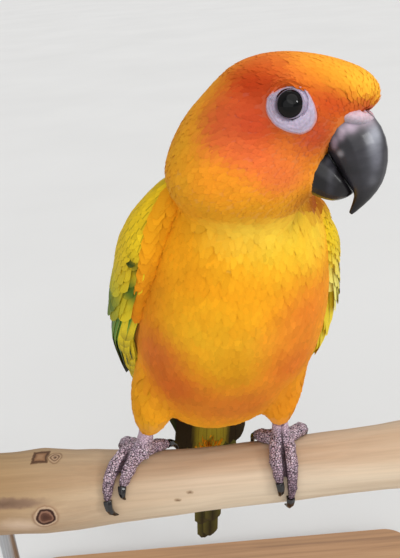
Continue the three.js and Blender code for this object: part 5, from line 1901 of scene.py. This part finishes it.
def foot_skin():
    """Pale scales with a dark net between them, and dark bars round the toes."""
    finish = new_material("foot_skin", Roughness=0.5, Specular_IOR_Level=0.4,
                          Subsurface_Weight=0.05, Subsurface_Scale=0.001)
    fields = "shank", "toe", "split", "bars"
    shank, toe, split, turn = (attribute(finish, name, "Fac") for name in fields)
    place = wobbled(finish, stretched(finish, (0.75, 1, 1.1)), 900, 2, 0.7)
    cells = {"Vector": place, "Scale": 1350}
    scales = add(finish, "TexVoronoi", cells, feature="DISTANCE_TO_EDGE").outputs["Distance"]
    scale_tones = add(finish, "TexVoronoi", cells).outputs["Color"]
    own = add(finish, "RGBToBW", {"Color": scale_tones}).outputs[0]
    tone = ramp(finish, own, (0.25, rgba("C4A9B8")), (0.7, rgba("E0CAD4")))
    tone = mixed(finish, toe, tone, rgba("9A7F8C"))
    wave = maths(finish, "SINE", maths(finish, "MULTIPLY", turn, 2 * math.pi))
    bars = mixed(finish, toe, grey(0), ramp(finish, wave, (0.35, grey(0)), (0.85, grey(0.75))))
    tone = mixed(finish, bars, tone, rgba("4A343E"))
    # Painted shade: the groove between the two front toes is painted dark.
    tone = mixed(finish, split, tone, rgba("3A2630"))
    net = ramp(finish, scales, (0.05, grey(1)), (0.17, grey(0)))
    on_toes = mixed(finish, net, tone, rgba("33202A"))
    on_shank = mixed(finish, 0.4, rgba("CFB0C0"), on_toes)
    wire(finish, mixed(finish, shank, on_toes, on_shank), "Base Color")
    wire(finish, bump(finish, scales, 0.5, 0.35), "Normal")
    return finish


foot_finish = foot_skin()
claw_finish = new_material("claw", Roughness=0.1, Specular_IOR_Level=0.7)
claw_lines = noise_on(claw_finish, stretched(claw_finish, (1, 1, 1)), 700, 3)
claw_tone = ramp(claw_finish, claw_lines, (0.3, rgba("080606")), (0.75, rgba("1C1513")))
wire(claw_finish, claw_tone, "Base Color")
for label in SIDES:
    foot = scaly_foot(label)
    foot.data.materials.append(foot_finish)
    print(foot.name, len(foot.data.polygons), "faces")
    for number in range(1, 5):
        node = f"claw_{label}_{number}"
        claw = remeshed(merged_copy(node + "_horn", node), CLAW_VOXEL, CLAW_ROUNDS)
        keep(claw, "horn", node).data.materials.append(claw_finish)

# %% [markdown]
# The branch has lost its bark. It is a pale, dry wood with fine lengthwise grain, two
# knots where twigs were cut, and small nicks. A remeshed copy gets shallow ripples, and
# the knots are drawn by the finish: the distance from a place on the branch runs through
# rings of colour, and the places are shaken a little so that no ring is a true circle.

# %% Branch
BRANCH_VOXEL, BRANCH_ROUNDS = 0.75, 6
GRAIN_LENGTH, GRAIN_WIDTH, GRAIN_HEIGHT, RIPPLE_HEIGHT = 26, 2.2, 0.16, 0.12
# Place on the branch and reach along each axis in mm, then rings of colour from the middle
# out, each with its distance as a share of the reach, its colour and its strength.
KNOT = ((-59, -15.8, 3.2), (3.3, 3.3, 3.3))
MARKS = [
    ((-75, -14, 8.6), (15, 7, 1.7), (0.2, "5E4438", 0.8), (0.8, "74584A", 0.7),
     (1.3, "74584A", 0.0)),
    ((-68, -15.5, -0.5), (9, 5, 3.5), (0.3, "D3B9A0", 0.7), (1.3, "D3B9A0", 0.0)),
    (*KNOT, (0.2, "4A2C20", 1), (0.5, "5A382A", 1), (0.66, "8A6450", 1), (0.8, "32190F", 1),
     (0.96, "40241A", 1), (1.1, "C9AC90", 0.7), (1.3, "7E5A42", 0.6), (1.6, "B09070", 0)),
    ((-61.5, 1, 16), (2.6, 3.2, 5), (0.3, "A07A58", 1), (0.6, "8A6444", 1), (0.8, "4E3220", 1),
     (1.05, "5E4028", 0.9), (1.25, "A08058", 0)),
    ((-56.2, 0.5, 16), (2.4, 2.8, 3), (0.1, "4E3424", 1), (0.35, "B89878", 1), (0.6, "5A3E2A", 0.9),
     (0.8, "BC9C7A", 0.8), (1.0, "6E5034", 0.7), (1.25, "B09068", 0)),
]
SQUARE_MARK = MARKS[3]
NICK_RINGS = (0.2, "6E5238", 0.9), (0.9, "9A7C5C", 0.4), (1.2, "C9AC8A", 0)
for nick in ((-13.1, -11.8, 2.5), (-8.7, -10.9, 4.7), (-39, -14, 5)):
    MARKS.append((nick, (1.3, 1.5, 0.7), *NICK_RINGS))
# The places of the marks are shaken by up to this much, in mm. That moves them by half as
# much on average, and the marks are moved along with them.
SHAKE = 1.6
# Where the tone changes along the branch and over its height, in metres.
TONE_ALONG, TONE_UP = (-0.085, -0.005), (0.100, 0.119)


def branch_piece():
    branch = remeshed(merged_copy("branch", "perch"), BRANCH_VOXEL, BRANCH_ROUNDS)
    places, normals = places_of(branch), normals_of(branch)
    stretch = np.array([GRAIN_LENGTH, GRAIN_WIDTH, GRAIN_WIDTH])
    grain = np.array([noise.noise(Vector(p)) for p in places / MM / stretch])
    rise = GRAIN_HEIGHT * grain + RIPPLE_HEIGHT * mottle(places, 9, 2.2)
    move_vertices(branch, places + normals * rise[:, None] * MM)
    return keep(branch, "branch_wood", "perch")


def half_distance(finish, vector, place, reach, square=False):
    """Half the distance from a place, as a share of the reach, since a ramp ends at 1."""
    centre = (in_frame(place) + SHAKE / 2 * MM) / MM
    scale = tuple(1 / MM / r for r in reach)
    shift = tuple(-c / r for c, r in zip(centre, reach))
    way = add(finish, "Mapping", {"Vector": vector, "Scale": scale, "Location": shift}).outputs[0]
    distance = add(finish, "VectorMath", {0: way}, operation="LENGTH").outputs["Value"]
    if square:
        parts = add(finish, "SeparateXYZ", {"Vector": way}).outputs
        distance = maths(finish, "MAXIMUM", *(maths(finish, "ABSOLUTE", parts[k]) for k in "XY"))
    return maths(finish, "MULTIPLY", distance, 0.5)


def between(finish, value, limits):
    span = {"Value": value, "From Min": limits[0], "From Max": limits[1]}
    return add(finish, "MapRange", span).outputs[0]


def bare_branch():
    """Dry wood, paler to one end, with all marks drawn over it."""
    finish = new_material("bare_branch", Roughness=0.62, Specular_IOR_Level=0.25)
    fibres = noise_on(finish, stretched(finish, (14, 900, 900)), 1, 5, 0.6, 0.3)
    bands = noise_on(finish, stretched(finish, (5, 110, 110)), 1, 3)
    place = add(finish, "TexCoord").outputs["Object"]
    parts = add(finish, "SeparateXYZ", {"Vector": place}).outputs
    along, height = between(finish, parts["X"], TONE_ALONG), between(finish, parts["Z"], TONE_UP)
    lower = mixed(finish, along, rgba("A88C6E"), rgba("E6DCC6"))
    upper = mixed(finish, along, rgba("A8895E"), rgba("D2BA9E"))
    tone = mixed(finish, height, lower, upper)
    tone = toned(finish, tone, bands, (0.3, rgba("ECE2DA")), (0.7, grey(1.0)))
    tone = toned(finish, tone, fibres, (0.25, grey(0.88)), (0.7, grey(1.04)))
    shaken = wobbled(finish, place, 420, 3, SHAKE)
    for mark in MARKS:
        centre, reach, *rings = mark
        run = half_distance(finish, shaken, centre, reach, mark is SQUARE_MARK)
        colours = ramp(finish, run, *((d / 2, rgba(colour)) for d, colour, _ in rings))
        strengths = ramp(finish, run, *((d / 2, grey(strength)) for d, _, strength in rings))
        tone = mixed(finish, strengths, tone, colours)
    wire(finish, tone, "Base Color")
    run = half_distance(finish, shaken, *KNOT)
    dents = ramp(finish, run, (0.3, grey(0.5)), (0.42, grey(0.1)), (0.56, grey(1)),
                 (0.8, grey(0.6)))
    wire(finish, bump(finish, fibres, 0.3, 0.15, bump(finish, dents, 0.6, 0.8)), "Normal")
    return finish


branch = branch_piece()
branch.data.materials.append(bare_branch())
print("marks on the branch:", len(MARKS))

# %% [markdown]
# The stand is plain: an oiled wooden base with soft edges and two thin steel rods. The
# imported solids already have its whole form, so they stay as they are and only get their
# finishes, wood with long fibres and steel with fine lines round each rod.

# %% Stand
def refinished(finish, *nodes):
    for node in nodes:
        frame["nodes"][node].data.materials.clear()
        frame["nodes"][node].data.materials.append(finish)


base_finish = new_material("oiled_wood", Roughness=0.42, Specular_IOR_Level=0.4)
base_fibres = noise_on(base_finish, stretched(base_finish, (9, 260, 260)), 1, 5, 0.6, 0.4)
base_tone = ramp(base_finish, base_fibres, (0.25, rgba("8E6743")), (0.5, rgba("B08358")),
                 (0.8, rgba("C49A6E")))
wire(base_finish, base_tone, "Base Color")
wire(base_finish, bump(base_finish, base_fibres, 0.2, 0.15), "Normal")
refinished(base_finish, "stand_base")
rod_finish = new_material("brushed_steel", Roughness=0.3, Metallic=1.0)
rod_lines = noise_on(rod_finish, stretched(rod_finish, (2000, 2000, 60)), 1, 3)
rod_tone = ramp(rod_finish, rod_lines, (0.2, rgba("9C9DA0")), (0.8, rgba("C9CACC")))
wire(rod_finish, rod_tone, "Base Color")
refinished(rod_finish, "stand_rod_left", "stand_rod_right")
print("finishes in all:", len(bpy.data.materials))

# %% [markdown]
# At the end, scratch copies are removed.

# %% Remove scratch copies
for thing in [o for o in bpy.data.objects if o.name.startswith("copy")]:
    bpy.data.objects.remove(thing)
